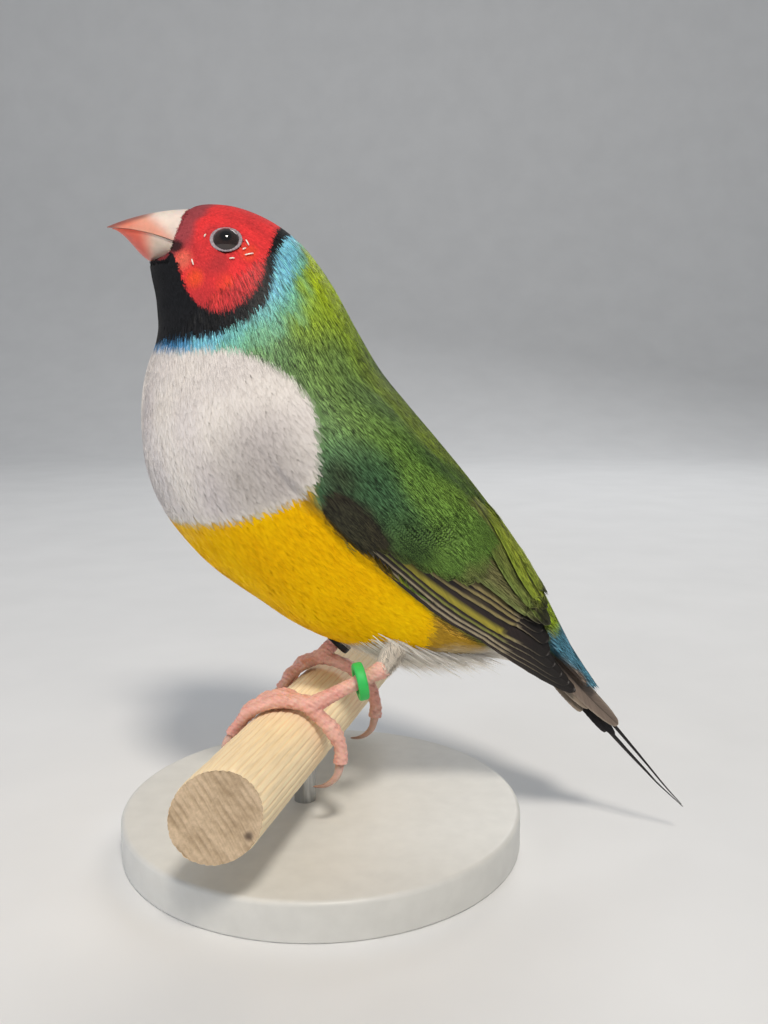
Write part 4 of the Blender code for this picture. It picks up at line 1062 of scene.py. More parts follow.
def vane_widths(width, share, root=0.6, tip=0.16, round_power=6):
    swell = root + (1 - root) * np.minimum(1, share / 0.35)
    return width * swell * (tip + (1 - tip) * np.sqrt(np.clip(1 - share ** round_power, 0, 1)))


# Rows of the folded wing, each from its lowest vane to its uppermost: name, how many, guide
# places of roots and of tips, widths, heights over the wing (root, and from the middle on)
WING_ROWS = (
    ("primary", 9, ((12.9, 77.0), (13.7, 56.0)),
     ((18.85, 88.0), (18.7, 78.5), (17.8, 68.0), (16.9, 58.0)), (4.4, 3.6),
     ((0.25, 0.3), (0.75, 0.75)), 9),
    ("secondary", 6, ((13.5, 57.0), (13.8, 42.0)), ((16.9, 56.5), (16.3, 42.0)), (4.4, 4.4),
     ((0.7, 0.8), (0.9, 1.0)), 8),
    ("tertial", 3, ((13.0, 50.0), (12.8, 34.0)), ((16.75, 50.0), (16.0, 30.0)), (6.2, 5.6),
     ((0.9, 1.25), (1.0, 1.2)), 5),
)
QUILL_BROWN, PALE_EDGE, GREEN_EDGE = linear("#2B2421"), linear("#CDBE9C"), linear("#9AA52C")
SHAFT_TONE = linear("#171312")


def wing_paint(kind, k, count):
    """Dark brown vanes with a pale rim along the outer edge, green on the innermost ones."""
    share = k / max(1, count - 1)

    def paint(c, t):
        base = np.broadcast_to(QUILL_BROWN, (*c.shape, 3)) * 1.0
        if kind == "primary":
            rim = mixed(PALE_EDGE, GREEN_EDGE, ease(t * 0 + share, 0.15, 0.5) + 0 * c)
            edge = ease(c, 0.62, 0.86) * (1 - ease(t, 0.86, 0.98)) * ease(t, 0.02, 0.2)
            base = mixed(base, rim, 0.85 * edge * (1 - 0.35 * ease(t, 0.5, 0.9)))
            base = mixed(base, GREEN_EDGE, 0.5 * ease(c, 0.2, 0.8) * (1 - ease(t, 0.2, 0.6))
                         * ease(share, 0.2, 0.7))
        elif kind == "secondary":
            base = mixed(base, GREEN_EDGE, 0.7 * ease(c, 0.05, 0.5) * (1 - ease(t, 0.7, 0.95)))
            base = mixed(base, PALE_EDGE, 0.75 * ease(c, 0.84, 0.97))
        else:
            base = mixed(base, mixed(GREEN, OLIVE, 0.5 + 0 * c),
                         0.95 * ease(c, -0.45, 0.25) * (1 - ease(t, 0.86, 1.0)))
            base = mixed(base, PALE_EDGE, 0.7 * ease(c, 0.9, 0.99) * ease(t, 0.5, 0.9))
        return mixed(base, SHAFT_TONE, ease(0.09 - np.abs(c), 0, 0.05))

    return paint


def guide(values, share):
    return through(values, share * (len(values) - 1))


def make_wings():
    quills = feather_material("dark_flight_feathers", 0.45, 0.0, 0.2, 1.0, gloss=0.35,
                              relief=0.06)
    barred = feather_material("barred_wing_coverts", 0.5, 0.0, 0.3, 1.0, bars=0.92, gloss=0.3)
    loose = feather_material("loose_wing_barbs", 0.5, 0.0, 0.1, 6.0, gloss=0.28)
    speckled = feather_material("speckled_wing_coverts", 0.5, 0.0, 0.3, 6.0, bars=0.8,
                                gloss=0.28)
    for name, side in SIDES.items():
        vanes, barbs = [], []
        for rows, paints, lean, lift in ((FLIGHT, flight_paint, 11, 0.55),
                                         (TERTIALS, tertial_paint, 8, 0.4)):
            for k, (s, a, width, kind) in enumerate(rows):
                after = rows[k + 1][:2] if k + 1 < len(rows) else (s, np.array(a) - 40)
                cover = cover_of((s, a), after, side)

                def paint_for(outer, *_, kind=kind, width=width, paints=paints, cover=cover):
                    return paints(kind, width, outer, cover)

                height = lift + 0.03 * k
                if rows is TERTIALS:
                    t = np.linspace(0, 1, 36) * 5
                    at = through(np.array(s)[:, None], t)[..., 0]
                    turn = np.radians(through(np.array(a)[:, None], t)[..., 0])
                    height = height + 0.7 * np.minimum(wing_rise(at, turn), 1.2)
                    height = height + 0.35 * ease(at, 15.2, 16.2)
                    height = height - 1.3 * (1 - ease(t, 0.0, 1.7))
                vane, lies = laid_vane((s, a), width, side, math.radians(lean), height,
                                       paint_for, 3.7 * len(vanes))
                vanes.append(vane)
                if rows is TERTIALS:
                    barbs.append(barbs_over(vane, lies, side, 1500, (0.02, 0.97)))
        vane_piece("flight_feathers_" + name, vanes, quills,
                   "wing_" + name)

        coverts = []
        for k, (s, a) in enumerate(COVERT_TIPS):
            length = 1.35 + 0.09 * k
            edge = (np.linspace(s - length, s, 5),
                    a + 4.6 + np.array((-4.5, -3.0, -1.7, -0.6, 0.0)))

            def paint_for(outer, s, a, side):
                return covert_paint(s, side * a, outer, 3.3)

            vane, lies = laid_vane(edge, 3.2, side, math.radians(6), 0.95 + 0.04 * k,
                                   paint_for, 5.1 * k, 24, covert_width, camber=0.06)
            across = np.broadcast_to(np.concatenate([VANE_COLUMNS, VANE_COLUMNS[::-1]]),
                                     vane["points"].shape[:2])
            run = np.linspace(0, 1, 24)[:, None] * 9 + 0.8 * across ** 2
            amount = 0.3 + 0.68 * math.exp(-((k - 4.4) / 1.7) ** 2)
            vane["bars"] = np.stack([run * 1.35, across * 1.1 + 3 * k, 0 * run + 7 * k,
                                     0 * run + amount], axis=-1)
            coverts.append(vane)
            barbs.append(barbs_over(vane, lies, side, 800, (0.45, 0.93)))
        vane_piece("greater_coverts_" + name, coverts, barred, None)
        coat_piece("wing_barbs_" + name, barbs, loose)
        make_coverts(name, side, speckled)


def wing_paint_sided(kind, k, count, side):
    paint = wing_paint(kind, k, count)
    return lambda c, t: paint(-side * c, t)


def make_coverts(name, side, speckled):
    """Small hairlike feathers over the wing, with fine dark bars where its patches are."""
    low, high = (12, 100) if side > 0 else (-100, -12)

    def on_wing(section, angle):
        along, across = on_pad(section, angle)
        turn = folded(angle)
        end = np.interp(turn, (30, 45.5, 51.5, 57, 62, 67, 71, 74.6, 77.6, 80.5, 90),
                        (13.9, 14.0, 14.25, 14.35, 14.15, 13.85, 13.5, 13.2, 13.0, 12.9, 12.9))
        points = COAT.point(section, angle)
        behind = right_of(WING_EDGE, points[:, 0], points[:, 2]) < -0.3
        return (along > 0.02) & (section < end) & (across > -0.75) & (across < 0.99) & behind

    places = kept(scatter(9.7, 14.2, low, high, lambda s: 0.4 + 0.06 * (s - 9.7) / 4), on_wing)
    along, across = on_pad(*places)
    length = (2.4 + 0.7 * ease(along, 0.2, 0.6)) * dice.uniform(0.85, 1.15, len(along))
    part = grow(places, length, 0.5, 0.06, side * 0.06 + dice.normal(0, 0.08, len(along)),
                HAIRY, 0.04, shade=(0.92, 1.03), jitter=0.06, push=-3.0)

    def unbarred(section, angle):
        points = COAT.point(section, angle)
        barred = sum(near(points[:, 0], points[:, 2], place, size) for place, size, _ in BARS)
        return barred < 0.3

    fine = hair_over(kept(places, unbarred), 15000, (1.6, 3.0), 0.09,
                     (0.14, 0.32, 0.6, 1.6, 2.2), -3.0, 0.07)

    def bars(part):
        t, c = part["t"], part["c"]
        points = COAT.point(*part["at"])
        x, z = points[:, 0], points[:, 2]
        amount = 0.12 + sum(share * near(x, z, place, size) for place, size, share in BARS)
        amount = amount[:, None, None] + 0 * t
        run = t * part["length"] + x[:, None, None] * 0.9 - z[:, None, None] * 1.1
        spread = part["width"] * c * 0.5 + 0.8 * x[:, None, None] + 0.7 * z[:, None, None]
        return np.stack([run * 1.4, spread, 0 * run, amount], axis=-1)

    def last_ones(section, angle):
        return ~on_wing(section + 0.45, angle) & (folded(angle) < 76) & (section > 13.0)

    ends = kept(places, last_ones)
    fringe = hair_over(ends, 5000, (2.2, 4.2), 0.1, (0.25, 0.5, 0.8, 1.1, 1.4), -3.0, 0.12)
    coat_piece("wing_coverts_" + name, [part, fine, fringe], speckled, bars)


TAIL_ROOT = np.array((33.5, 0.0, 33.5))
TAIL_ALONG = unit((0.635, 0.0, -0.773))
TAIL_UP = unit((0.773, 0.0, 0.635))
# One side's tail feathers, centre pair first: length, width, offset to the side, height
TAIL_FEATHERS = {
    "long_outer": (((3.0, 0.6, 3.1), (8.0, 0.8, 3.0), (14.0, 1.1, 2.3), (20.0, 1.75, 1.3)),
                   3.5, 0.16, 50, "grey"),
    "short_outer": (((3.0, 0.2, 3.6), (6.5, 0.0, 3.6), (10.0, 0.0, 3.3), (14.2, 0.15, 2.8)),
                    3.5, 0.16, 52, "pale"),
    "lowest": (((3.0, -0.6, 3.4), (6.5, -0.8, 3.4), (10.0, -0.95, 3.2), (13.9, -1.1, 2.8)),
               3.0, 0.16, 56, "pale"),
    "dark_outer": (((3.0, 0.0, 1.6), (9.0, -0.1, 1.6), (15.0, -0.2, 1.2), (19.9, -0.4, 0.9)),
                   2.6, 0.16, 55, "black"),
    "dark_inner": (((3.0, 0.6, 1.0), (9.0, 0.5, 1.0), (15.0, 0.3, 0.8), (21.4, 0.2, 0.6)),
                   2.4, 0.16, 55, "black"),
}
TAIL_GREY, TAIL_PALE, PIN_BLACK = linear("#6A5A52"), linear("#B8A798"), linear("#19171A")


def tail_paint(tone):
    def paint(c, t):
        base = np.broadcast_to(TAIL_TONES[tone], (*c.shape, 3)) * 1.0
        if tone == "black":
            return base
        base = mixed(base, TAIL_TONES["black"], 0.25 * ease(-np.abs(c - 0.2), -0.5, 0.0))
        base = mixed(base, TAIL_RIM, 0.7 * ease(np.abs(c), 0.84, 0.96) * ease(t, 0.3, 0.8))
        base = mixed(base, TAIL_RIM, 0.5 * ease(t, 0.965, 1.0))
        return mixed(base, SHAFT_TONE, 0.5 * ease(0.09 - np.abs(c), 0, 0.05))

    return paint


def make_tail():
    quills = feather_material("grey_tail_feathers", 0.5, 0.0, 0.16, 1.0, gloss=0.35,
                              relief=0.06)
    vanes = []
    share = np.linspace(0, 1, 40)
    normals = np.tile(TAIL_UP, (40, 1))
    for name, side in SIDES.items():
        for places, width, thick, roof, tone in TAIL_FEATHERS.values():
            vanes.append(long_vane(
                tail_path(places, side, 40), normals, vane_widths(width, share, 0.5, 0.08, 3.4),
                math.radians(roof) * side, 0.0, 0.06, thick, tail_paint(tone), 0.02,
                key=9.3 * len(vanes)))
        widths = np.interp(share, (0, 0.5, 0.62, 0.8, 1), (0.9, 0.6, 0.5, 0.32, 0.14))
        vanes.append(long_vane(tail_path(PINS[name], side, 40), normals, widths,
                               math.radians(20) * side, 0.0, 0.06, widths, tail_paint("black"),
                               0.0, key=9.3 * len(vanes)))
    vane_piece("tail_quills", vanes, quills, "tail")


# Legs and feet

PERCH_RADIUS = 6.0
PERCH_MIDDLE = np.array((-2.9, 0.0, 19.0))
PERCH_TURN = math.radians(14)
PERCH_ALONG = np.array((math.sin(PERCH_TURN), math.cos(PERCH_TURN), 0.0))
PERCH_ACROSS = np.array((math.cos(PERCH_TURN), -math.sin(PERCH_TURN), 0.0))
PERCH_FRONT, PERCH_BACK = 35.5, 38.0
SAW_SLANT, SAW_LEAN = math.radians(16), math.radians(12)
FOOT_AXIAL = {"left": -10.3, "right": 10.3}
ANKLE_ANGLE = {"left": 56.0, "right": 92.0}
ANKLE_HEIGHT, STUB_LENGTH = 2.0, 2.0
HEEL = {"left": np.array((9.8, -9.9, 31.0)), "right": np.array((7.0, 11.6, 36.0))}
THIGH_TOP = {"left": np.array((12.2, -6.4, 35.4)), "right": np.array((11.0, 8.2, 40.2))}
TARSUS_RADIUS = 1.05
RING_PLACE = {"left": 0.38, "right": 0.82}
RING_AXIS = {"left": (0.963, 0.205, 0.174), "right": (0.70, 0.15, 0.70)}
FRONT_TOES = {"outer": (3.4, 160.0, 1.0), "middle": (0.2, 173.0, 1.12),
              "inner": (-3.2, 155.0, 1.0)}
TOE_CLEARANCE = 0.35
HIND_TOE = ((43.0, 7.8), (28.0, 8.3), (13.0, 8.9), (0.0, 9.25), (-11.0, 9.3))
HIND_CLAW = ((-13.2, 9.3), (-24.0, 9.4), (-34.0, 9.1), (-43.0, 8.5), (-51.0, 7.7))


def round_perch(axial, angle_degrees, radius):
    angle = np.radians(angle_degrees)
    outward = (np.multiply.outer(np.cos(angle), PERCH_ACROSS)
               + np.multiply.outer(np.sin(angle), UP))
    return (PERCH_MIDDLE + np.multiply.outer(axial, PERCH_ALONG)
            + np.asarray(radius)[..., None] * outward)


def tube(path, radii, sides, relief=None):
    """Rings round a path. relief(share, turn) scales the radius; turn 0 is the perch's far side."""
    path = np.asarray(path, float)
    tangents = unit(np.gradient(path, axis=0))
    across = unit(np.cross(tangents[0], PERCH_ALONG))
    turn = np.arange(sides) * 2 * math.pi / sides
    rings = []
    for k, (point, tangent, radius) in enumerate(zip(path, tangents, radii)):
        across = unit(across - tangent * across.dot(tangent))
        second = np.cross(tangent, across)
        size = radius * (relief(k / (len(path) - 1), turn) if relief else 1)
        rings.append(point + (np.cos(turn) * size)[:, None] * across
                     + (np.sin(turn) * size)[:, None] * second)
    return np.array(rings)


def ankle(name):
    return round_perch(FOOT_AXIAL[name], ANKLE_ANGLE[name], PERCH_RADIUS + ANKLE_HEIGHT)


def front_toe(name, toe):
    shift, end, thick = FRONT_TOES[toe]
    outwards = -SIDES[name]
    share = np.linspace(0, 1, 90)
    angle = ANKLE_ANGLE[name] + (end - ANKLE_ANGLE[name]) * share
    axial = FOOT_AXIAL[name] + outwards * shift * np.sin(share * math.pi / 2)
    pads = 1 + 0.09 * np.cos(share * 2 * math.pi * 3)
    radii = thick * (1.06 - 0.26 * share) * pads
    height = PERCH_RADIUS + TOE_CLEARANCE + radii + 0.5 * (1 - share) ** 3
    return round_perch(axial, angle, height), radii


def front_claw(name, toe):
    shift, end, thick = FRONT_TOES[toe]
    outwards = -SIDES[name]
    share = np.linspace(0, 1, 24)
    angle = end + 1.5 + 32.7 * share
    radii = thick * 0.56 * (1 - share) ** 0.8 + 0.08
    height = PERCH_RADIUS + TOE_CLEARANCE + thick * 0.8 + 0.9 * np.sin(share * math.pi)
    height = height - 0.3 * share
    axial = FOOT_AXIAL[name] + outwards * (shift + 0.25 * shift * share)
    return round_perch(axial, angle, height), radii


def hind_places(name, places):
    angle, reach = np.array(places).T
    return round_perch(np.full(len(places), FOOT_AXIAL[name]), angle, reach)


def hind_toe(name):
    share = np.linspace(1, 0, len(HIND_TOE))
    extra = (ANKLE_ANGLE[name] - ANKLE_ANGLE["left"]) * share ** 2
    places = [(angle + more, reach) for (angle, reach), more in zip(HIND_TOE, extra)]
    path = np.concatenate([[ankle(name)], hind_places(name, places)])
    path = through(path, np.linspace(0, len(path) - 1, 90))
    share = np.linspace(0, 1, 90)
    return path, 1.25 * (1 - 0.2 * share) * (1 + 0.1 * np.cos(share * 4 * math.pi))


def scutes(plates, top=0.0, depth=0.07):
    """Overlapping plates over a toe's top, and rows of small pads under it."""
    def relief(share, turn):
        step = np.mod(share * plates, 1)
        over = 0.5 + 0.5 * np.cos(turn - top)
        ledge = depth * (step - 0.6) * over
        groove = -0.09 * math.exp(-((step - 0.0) / 0.12) ** 2) * over
        under = 0.06 * np.sin(share * plates * 2.6 * math.pi) * np.sin(3 * turn) * (1 - over)
        return 1 + ledge + groove + under
    return relief


def closed_tube(rings):
    rows, columns = rings.shape[:2]
    points = np.concatenate([rings.reshape(-1, 3), [rings[0].mean(0), rings[-1].mean(0)]])
    faces = grid_faces(1, rows, columns, wrap=True).tolist()
    first = rows * columns
    for j in range(columns):
        k = (j + 1) % columns
        faces.append([k, j, first])
        faces.append([(rows - 1) * columns + j, (rows - 1) * columns + k, first + 1])
    return points, faces


def merged(parts):
    points, faces, shift = [], [], 0
    for part_points, part_faces in parts:
        points.append(part_points)
        faces += [[v + shift for v in face] for face in part_faces]
        shift += len(part_points)
    return np.concatenate(points), faces


SKIN_PINK, SKIN_PALE, SKIN_SHADE = linear("#DE9C90"), linear("#F2CABA"), linear("#A8706A")


def make_leg(name, material):
    """Tarsus and foot as one scaled skin, its forms melted together by a fine remesh."""
    heel, foot = HEEL[name], ankle(name)
    along = unit(foot - heel)
    share = np.linspace(0, 1, 120)
    path = heel - along * 0.6 + np.outer(share, foot - heel + along * 0.6)
    radii = TARSUS_RADIUS * np.interp(share, (0, 0.08, 0.2, 0.5, 0.72, 0.86, 1.0),
                                      (1.1, 1.28, 1.08, 1.0, 1.05, 1.2, 1.28))
    parts = [closed_tube(tube(path, radii, 28, scutes(13, math.pi, 0.06)))]
    for toe in FRONT_TOES:
        path, radii = front_toe(name, toe)
        parts.append(closed_tube(tube(path, radii, 24, scutes(11, math.pi, 0.1))))
    path, radii = hind_toe(name)
    parts.append(closed_tube(tube(path, radii, 24, scutes(9, math.pi, 0.1))))
    points, faces = merged(parts)
    leg = make_piece("scaled_leg_" + name, points, faces, material)
    remesh = leg.modifiers.new("melt", "REMESH")
    remesh.mode, remesh.voxel_size = "VOXEL", 0.13 * MM
    smooth = leg.modifiers.new("ease", "SMOOTH")
    smooth.factor, smooth.iterations = 0.5, 2
    graph = bpy.context.evaluated_depsgraph_get()
    mesh = bpy.data.meshes.new_from_object(leg.evaluated_get(graph))
    leg.modifiers.clear()
    leg.data = mesh
    mesh.shade_smooth()
    co = np.empty(len(mesh.vertices) * 3)
    mesh.vertices.foreach_get("co", co)
    co = co.reshape(-1, 3) / MM
    normals = np.empty(len(mesh.vertices) * 3)
    mesh.vertices.foreach_get("normal", normals)
    off_axis = np.linalg.norm((co - PERCH_MIDDLE) - np.outer((co - PERCH_MIDDLE) @ PERCH_ALONG,
                                                             PERCH_ALONG), axis=1)
    # Knobbly scales: bumps about half a millimetre wide, kept off the perch side
    bumps = 0.6 * waves(co, 0.42, 21) + 0.4 * waves(co, 0.22, 22)
    free = ease(off_axis, PERCH_RADIUS + 0.5, PERCH_RADIUS + 1.1)
    # Painted shade: the skin is deeper in tone next to the perch
    tone = mixed(SKIN_SHADE, SKIN_PINK, ease(off_axis, PERCH_RADIUS + 0.4, PERCH_RADIUS + 1.8))
    # Pale mottling at random, brighter on the bumps' tops as painted highlight
    tone = mixed(tone, SKIN_PALE, np.clip(0.4 + 0.22 * waves(co, 2.4, 8) + 0.2 * bumps, 0, 0.8))
    # Painted shade in the hollows between the bumps
    tone = mixed(tone, SKIN_SHADE, np.clip(-0.18 * bumps, 0, 0.18))
    co = co + normals.reshape(-1, 3) * (0.11 * bumps * free)[:, None]
    mesh.vertices.foreach_set("co", (co * MM).reshape(-1))
    layer = mesh.attributes.new("tint", "FLOAT_COLOR", "POINT")
    rgba = np.concatenate([tone, np.ones((len(co), 1))], axis=1)
    layer.data.foreach_set("color", rgba.astype(np.float32).reshape(-1))
    mesh.update()
    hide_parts("leg_" + name, "foot_" + name)


def make_claws(name, material):
    base, tip = linear("#D2AEA0"), linear("#94786A")
    paths = {toe: front_claw(name, toe) for toe in FRONT_TOES}
    path = hind_places(name, HIND_CLAW)
    path = through(path, np.linspace(0, len(path) - 1, 24))
    path[0] = path[0] + unit(path[0] - path[1]) * 0.3
    paths["hind"] = (path, 0.62 * np.linspace(1, 0, 24) ** 0.8 + 0.08)
    for toe, (path, radii) in paths.items():
        def oval(share, turn):
            return 1 - 0.18 * np.abs(np.sin(turn)) ** 2
        rings = tube(path, radii, 20, oval)
        points, faces = closed_tube(rings)
        share = np.concatenate([np.repeat(np.linspace(0, 1, 24), 20), [0, 1]])
        tints = mixed(base, tip, ease(share, 0.2, 1.0))
        piece = make_piece(f"horn_claw_{name}_{toe}", points, faces, material,
                           tints, colour_name="tint")
        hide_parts(f"claw_{name}_{toe}")


THIGH_RADIUS = 1.5


def make_thigh(name):
    """The feathered lower thigh: a core under fine, hairlike white feathers."""
    top, heel = THIGH_TOP[name], HEEL[name]
    heel = top + (heel - top) * 0.98 + np.array((-0.3, 0.0, 0.0))
    down = unit(heel - top)
    share = np.linspace(0, 1, 24)
    path = top + np.outer(share, heel - top)
    rings = tube(path, THIGH_RADIUS - 0.5 * share ** 1.6, 32)
    points, faces = closed_tube(rings)
    white = linear("#E6DFD4")
    material = feather_material("hairlike_thigh_feathers_" + name, 0.65, 0.1, 0.12, 3.0)
    # Painted shade: the core is a darker white, for the shade among the hairs
    core = make_piece("thigh_core_" + name, points, faces, material,
                      np.tile(white * 0.6, (len(points), 1)),
                      {"vane": np.zeros((len(points), 3))})
    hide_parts("thigh_" + name)

    count = 5200
    t = dice.uniform(0.0, 1.0, count) ** 0.9
    turn = dice.uniform(0, 2 * math.pi, count)
    first, second = square_to(down)
    out = np.outer(np.cos(turn), first) + np.outer(np.sin(turn), second)
    radius = THIGH_RADIUS - 0.5 * t ** 1.6
    root = top + t[:, None] * (heel - top) + out * (radius - 0.1)[:, None]
    lie = unit(down * 0.7 + out * 0.16 + np.array((0.5, 0.0, -0.1))
               + dice.normal(0, 0.13, (count, 3)))
    length = dice.uniform(0.9, 2.1, count) * (1 - 0.45 * t)
    part = strands(root, lie, out, length, 0.05, 0.12, white, turn / (2 * math.pi), t)
    coat_piece("thigh_hairs_" + name, [part], material)


def make_ring(name, material):
    heel, foot = HEEL[name], ankle(name)
    low = foot - unit(foot - heel) * (STUB_LENGTH + GAP)
    centre = heel + (low - heel) * RING_PLACE[name] - UP * 0.12
    spin = np.linspace(0, 2 * math.pi, 32, endpoint=False)
    corner = 4.0
    out = np.sign(np.cos(spin)) * np.abs(np.cos(spin)) ** (2 / corner)
    along = np.sign(np.sin(spin)) * np.abs(np.sin(spin)) ** (2 / corner)
    profile = [(2.325 + 0.55 * o, 0.75 * a) for o, a in zip(out, along)]
    profile.append(profile[0])
    rings = turned_form(centre, RING_AXIS[name], profile, 96)
    piece = make_piece("leg_band_" + name, rings, grid_faces(1, len(profile), 96, wrap=True),
                       material)
    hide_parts("ring_" + name)


# Perch and stand

FLUTES = 34
CAP_RINGS = 40


def make_perch():
    # Beech dowel, fluted by rollers and sawn by hand: pale, with fine pores along the grain
    wood, tree, shader = new_material("fluted_beech")
    grain = add(tree, "ShaderNodeAttribute", {"attribute_name": "grain"})
    tint = add(tree, "ShaderNodeAttribute", {"attribute_name": "tint"})
    stretch = add(tree, "ShaderNodeVectorMath", {"operation": "MULTIPLY"},
                  {0: grain.outputs["Vector"]})
    stretch.inputs[1].default_value = (0.09, 1.5, 1.5)
    fibres = add(tree, "ShaderNodeTexNoise", {"Scale": 1.6, "Detail": 5.0, "Roughness": 0.62},
                 {"Vector": stretch.outputs["Vector"]})
    depth = add(tree, "ShaderNodeMapRange",
                {"From Min": 0.3, "From Max": 0.7, "To Min": 0.88, "To Max": 1.14},
                {"Value": fibres.outputs["Fac"]})
    toned = add(tree, "ShaderNodeVectorMath", {"operation": "SCALE"},
                {0: tint.outputs["Color"], "Scale": depth.outputs["Result"]})
    tree.links.new(toned.outputs["Vector"], shader.inputs["Base Color"])
    bump = add(tree, "ShaderNodeBump", {"Strength": 0.6, "Distance": 0.1 * MM},
               {"Height": fibres.outputs["Fac"]})
    tree.links.new(bump.outputs["Normal"], shader.inputs["Normal"])
    settle(shader, Roughness=0.72, Specular_IOR_Level=0.3)

    around, rings_along = FLUTES * 10, 90
    turn = np.arange(around) * 2 * math.pi / around
    crest = np.clip(1.25 * (0.5 + 0.5 * np.cos(turn * FLUTES)) ** 0.4, 0, 1)
    radius = PERCH_RADIUS - 0.1 * (1 - crest)
    rim_across = radius * np.cos(turn)
    rim_up = radius * np.sin(turn)
    chips = 0.16 * waves(np.stack([rim_across, rim_up, 0 * turn], 1), 0.5, 12)
    near_end = (-PERCH_FRONT + rim_across * math.tan(SAW_SLANT) + rim_up * math.tan(SAW_LEAN)
                + chips)
    far_end = np.full(around, PERCH_BACK)
    wide = linear("#FFEAC4")
    points, local = [], []
    share = np.linspace(0, 1, rings_along)
    for t in share:
        axial = near_end + (far_end - near_end) * t
        worn = 1 - 0.012 * np.clip(waves(np.stack([rim_across, rim_up, axial], 1), 2.2, 13), 0, 1)
        rounding = 1 - 0.02 * ease(-t, -0.012, 0.0) - 0.02 * ease(t, 0.99, 1.0)
        size = radius * worn * rounding
        points.append(PERCH_MIDDLE + axial[:, None] * PERCH_ALONG
                      + (size * np.cos(turn))[:, None] * PERCH_ACROSS
                      + (size * np.sin(turn))[:, None] * UP)
        local.append(np.stack([axial, size * np.cos(turn), size * np.sin(turn)], axis=1))
    # Painted shade: the flutes' grooves are darker than their crests
    groove = mixed(linear("#F6DDB2"), wide, ease(crest, 0.1, 0.8))
    tints = [groove + np.zeros((around, 3)) for _ in share]
    cap_points, cap_local, cap_tints = [], [], []
    for which, end in (("near", near_end), ("far", far_end)):
        for ring in range(1, CAP_RINGS + 1):
            k = 1 - ring / (CAP_RINGS + 1)
            across, up = radius * k * np.cos(turn), radius * k * np.sin(turn)
            flat = np.stack([across, up, 0 * turn], axis=1)
            tone, rough = sawn_end(flat)
            if which == "near":
                axial = (-PERCH_FRONT + across * math.tan(SAW_SLANT) + up * math.tan(SAW_LEAN)
                         + rough)
            else:
                axial = PERCH_BACK + 0.5 * rough
            cap_points.append(PERCH_MIDDLE + np.outer(axial + 0 * turn, PERCH_ALONG)
                              + np.outer(across, PERCH_ACROSS) + np.outer(up, UP))
            cap_local.append(np.stack([axial * 9 + 0 * turn, across, up], axis=1))
            cap_tints.append(tone)
    side_count = rings_along * around
    all_points = np.concatenate([np.concatenate(points), np.concatenate(cap_points)])
    faces = grid_faces(1, rings_along, around, wrap=True).tolist()
    for cap, rim_start, step in ((0, 0, 1), (1, (rings_along - 1) * around, -1)):
        before = rim_start
        for ring in range(CAP_RINGS):
            here = side_count + (cap * CAP_RINGS + ring) * around
            for j in range(around):
                k = (j + 1) % around
                quad = [before + j, here + j, here + k, before + k]
                faces.append(quad if step > 0 else quad[::-1])
            before = here
        last = [before + j for j in range(around)]
        faces.append(last if step < 0 else last[::-1])
    piece = make_piece("fluted_dowel", all_points, faces, wood,
                       np.concatenate(tints + cap_tints),
                       {"grain": np.concatenate(local + cap_local)}, colour_name="tint")
    piece.data.set_sharp_from_angle(angle=math.radians(55))
    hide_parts("perch")


def lathe(name, place, profile, around, material, replaced):
    rings = turned_form(np.array(place, float), UP, profile, around)
    rows = len(profile)
    faces = grid_faces(1, rows, around, wrap=True).tolist()
    faces.append(list(range(around))[::-1])
    faces.append([(rows - 1) * around + j for j in range(around)])
    piece = make_piece(name, rings, faces, material)
    piece.data.set_sharp_from_angle(angle=math.radians(35))
    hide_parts(replaced)
    return piece


def make_stand():
    # Cold-drawn steel rod, brushed along its length
    steel = surface_material("brushed_steel", "#A9ABAC", "#C4C6C7", 0.25, 0.32, 0.004,
                             (1, 1, 0.03), Metallic=1.0)
    # Satin paint sprayed on a turned disc: a trace of orange peel in the sheen
    paint = surface_material("satin_grey_paint", "#D3D3CF", "#D9D9D5", 3.0, 0.42, 0.01)
    x, y = PERCH_MIDDLE[:2]
    rod = [(0.3, 2.3), (1.6, 2.3), (1.75, 2.45), (1.75, 9.0), (1.75, 16.55), (1.6, 16.7),
           (0.3, 16.7)]
    lathe("steel_rod", (x, y, 0.0), rod, 64, steel, "stand_rod")
    bend = np.linspace(0, math.pi / 2, 7)
    rim = [(31.2 + 0.8 * math.sin(b), 6.0 - 0.8 * (1 - math.cos(b))) for b in bend]
    foot = [(31.6 + 0.4 * math.cos(b), 0.4 - 0.4 * math.sin(b)) for b in bend]
    profile = rim + [(32.0, 3.0)] + foot + [(1.0, 0.0)]
    top = [(0.6, 6.0), (10.0, 6.0), (24.0, 6.0), (31.0, 6.0)]
    lathe("display_base", (0, 0, 0), top + profile, 180, paint, "stand_base")


def make_stage():
    floor_mat = surface_material("pale_paper_floor", "#E2E3E4", "#E6E7E8", 30.0, 0.8, 0.01)
    size, radius = 1500.0, 400.0
    depth = 650.0
    bow = np.linspace(0, math.pi / 2, 24)
    sweep = [(-size, 0.0), (0.0, 0.0)] + [
        (depth + radius * math.sin(b), radius * (1 - math.cos(b))) for b in bow]
    sweep.append((depth + radius, 1800.0))
    points = np.array([[(x, y, z) for x in (-size * 1.4, size * 1.4)] for y, z in sweep])
    rows = len(sweep)
    mesh = bpy.data.meshes.new("floor")
    faces = grid_faces(1, rows, 2).tolist()
    mesh.from_pydata([tuple(p) for p in (points.reshape(-1, 3) * MM)], [], faces)
    mesh.shade_smooth()
    mesh.materials.append(floor_mat)
    floor = bpy.data.objects.new("floor", mesh)
    bpy.context.scene.collection.objects.link(floor)


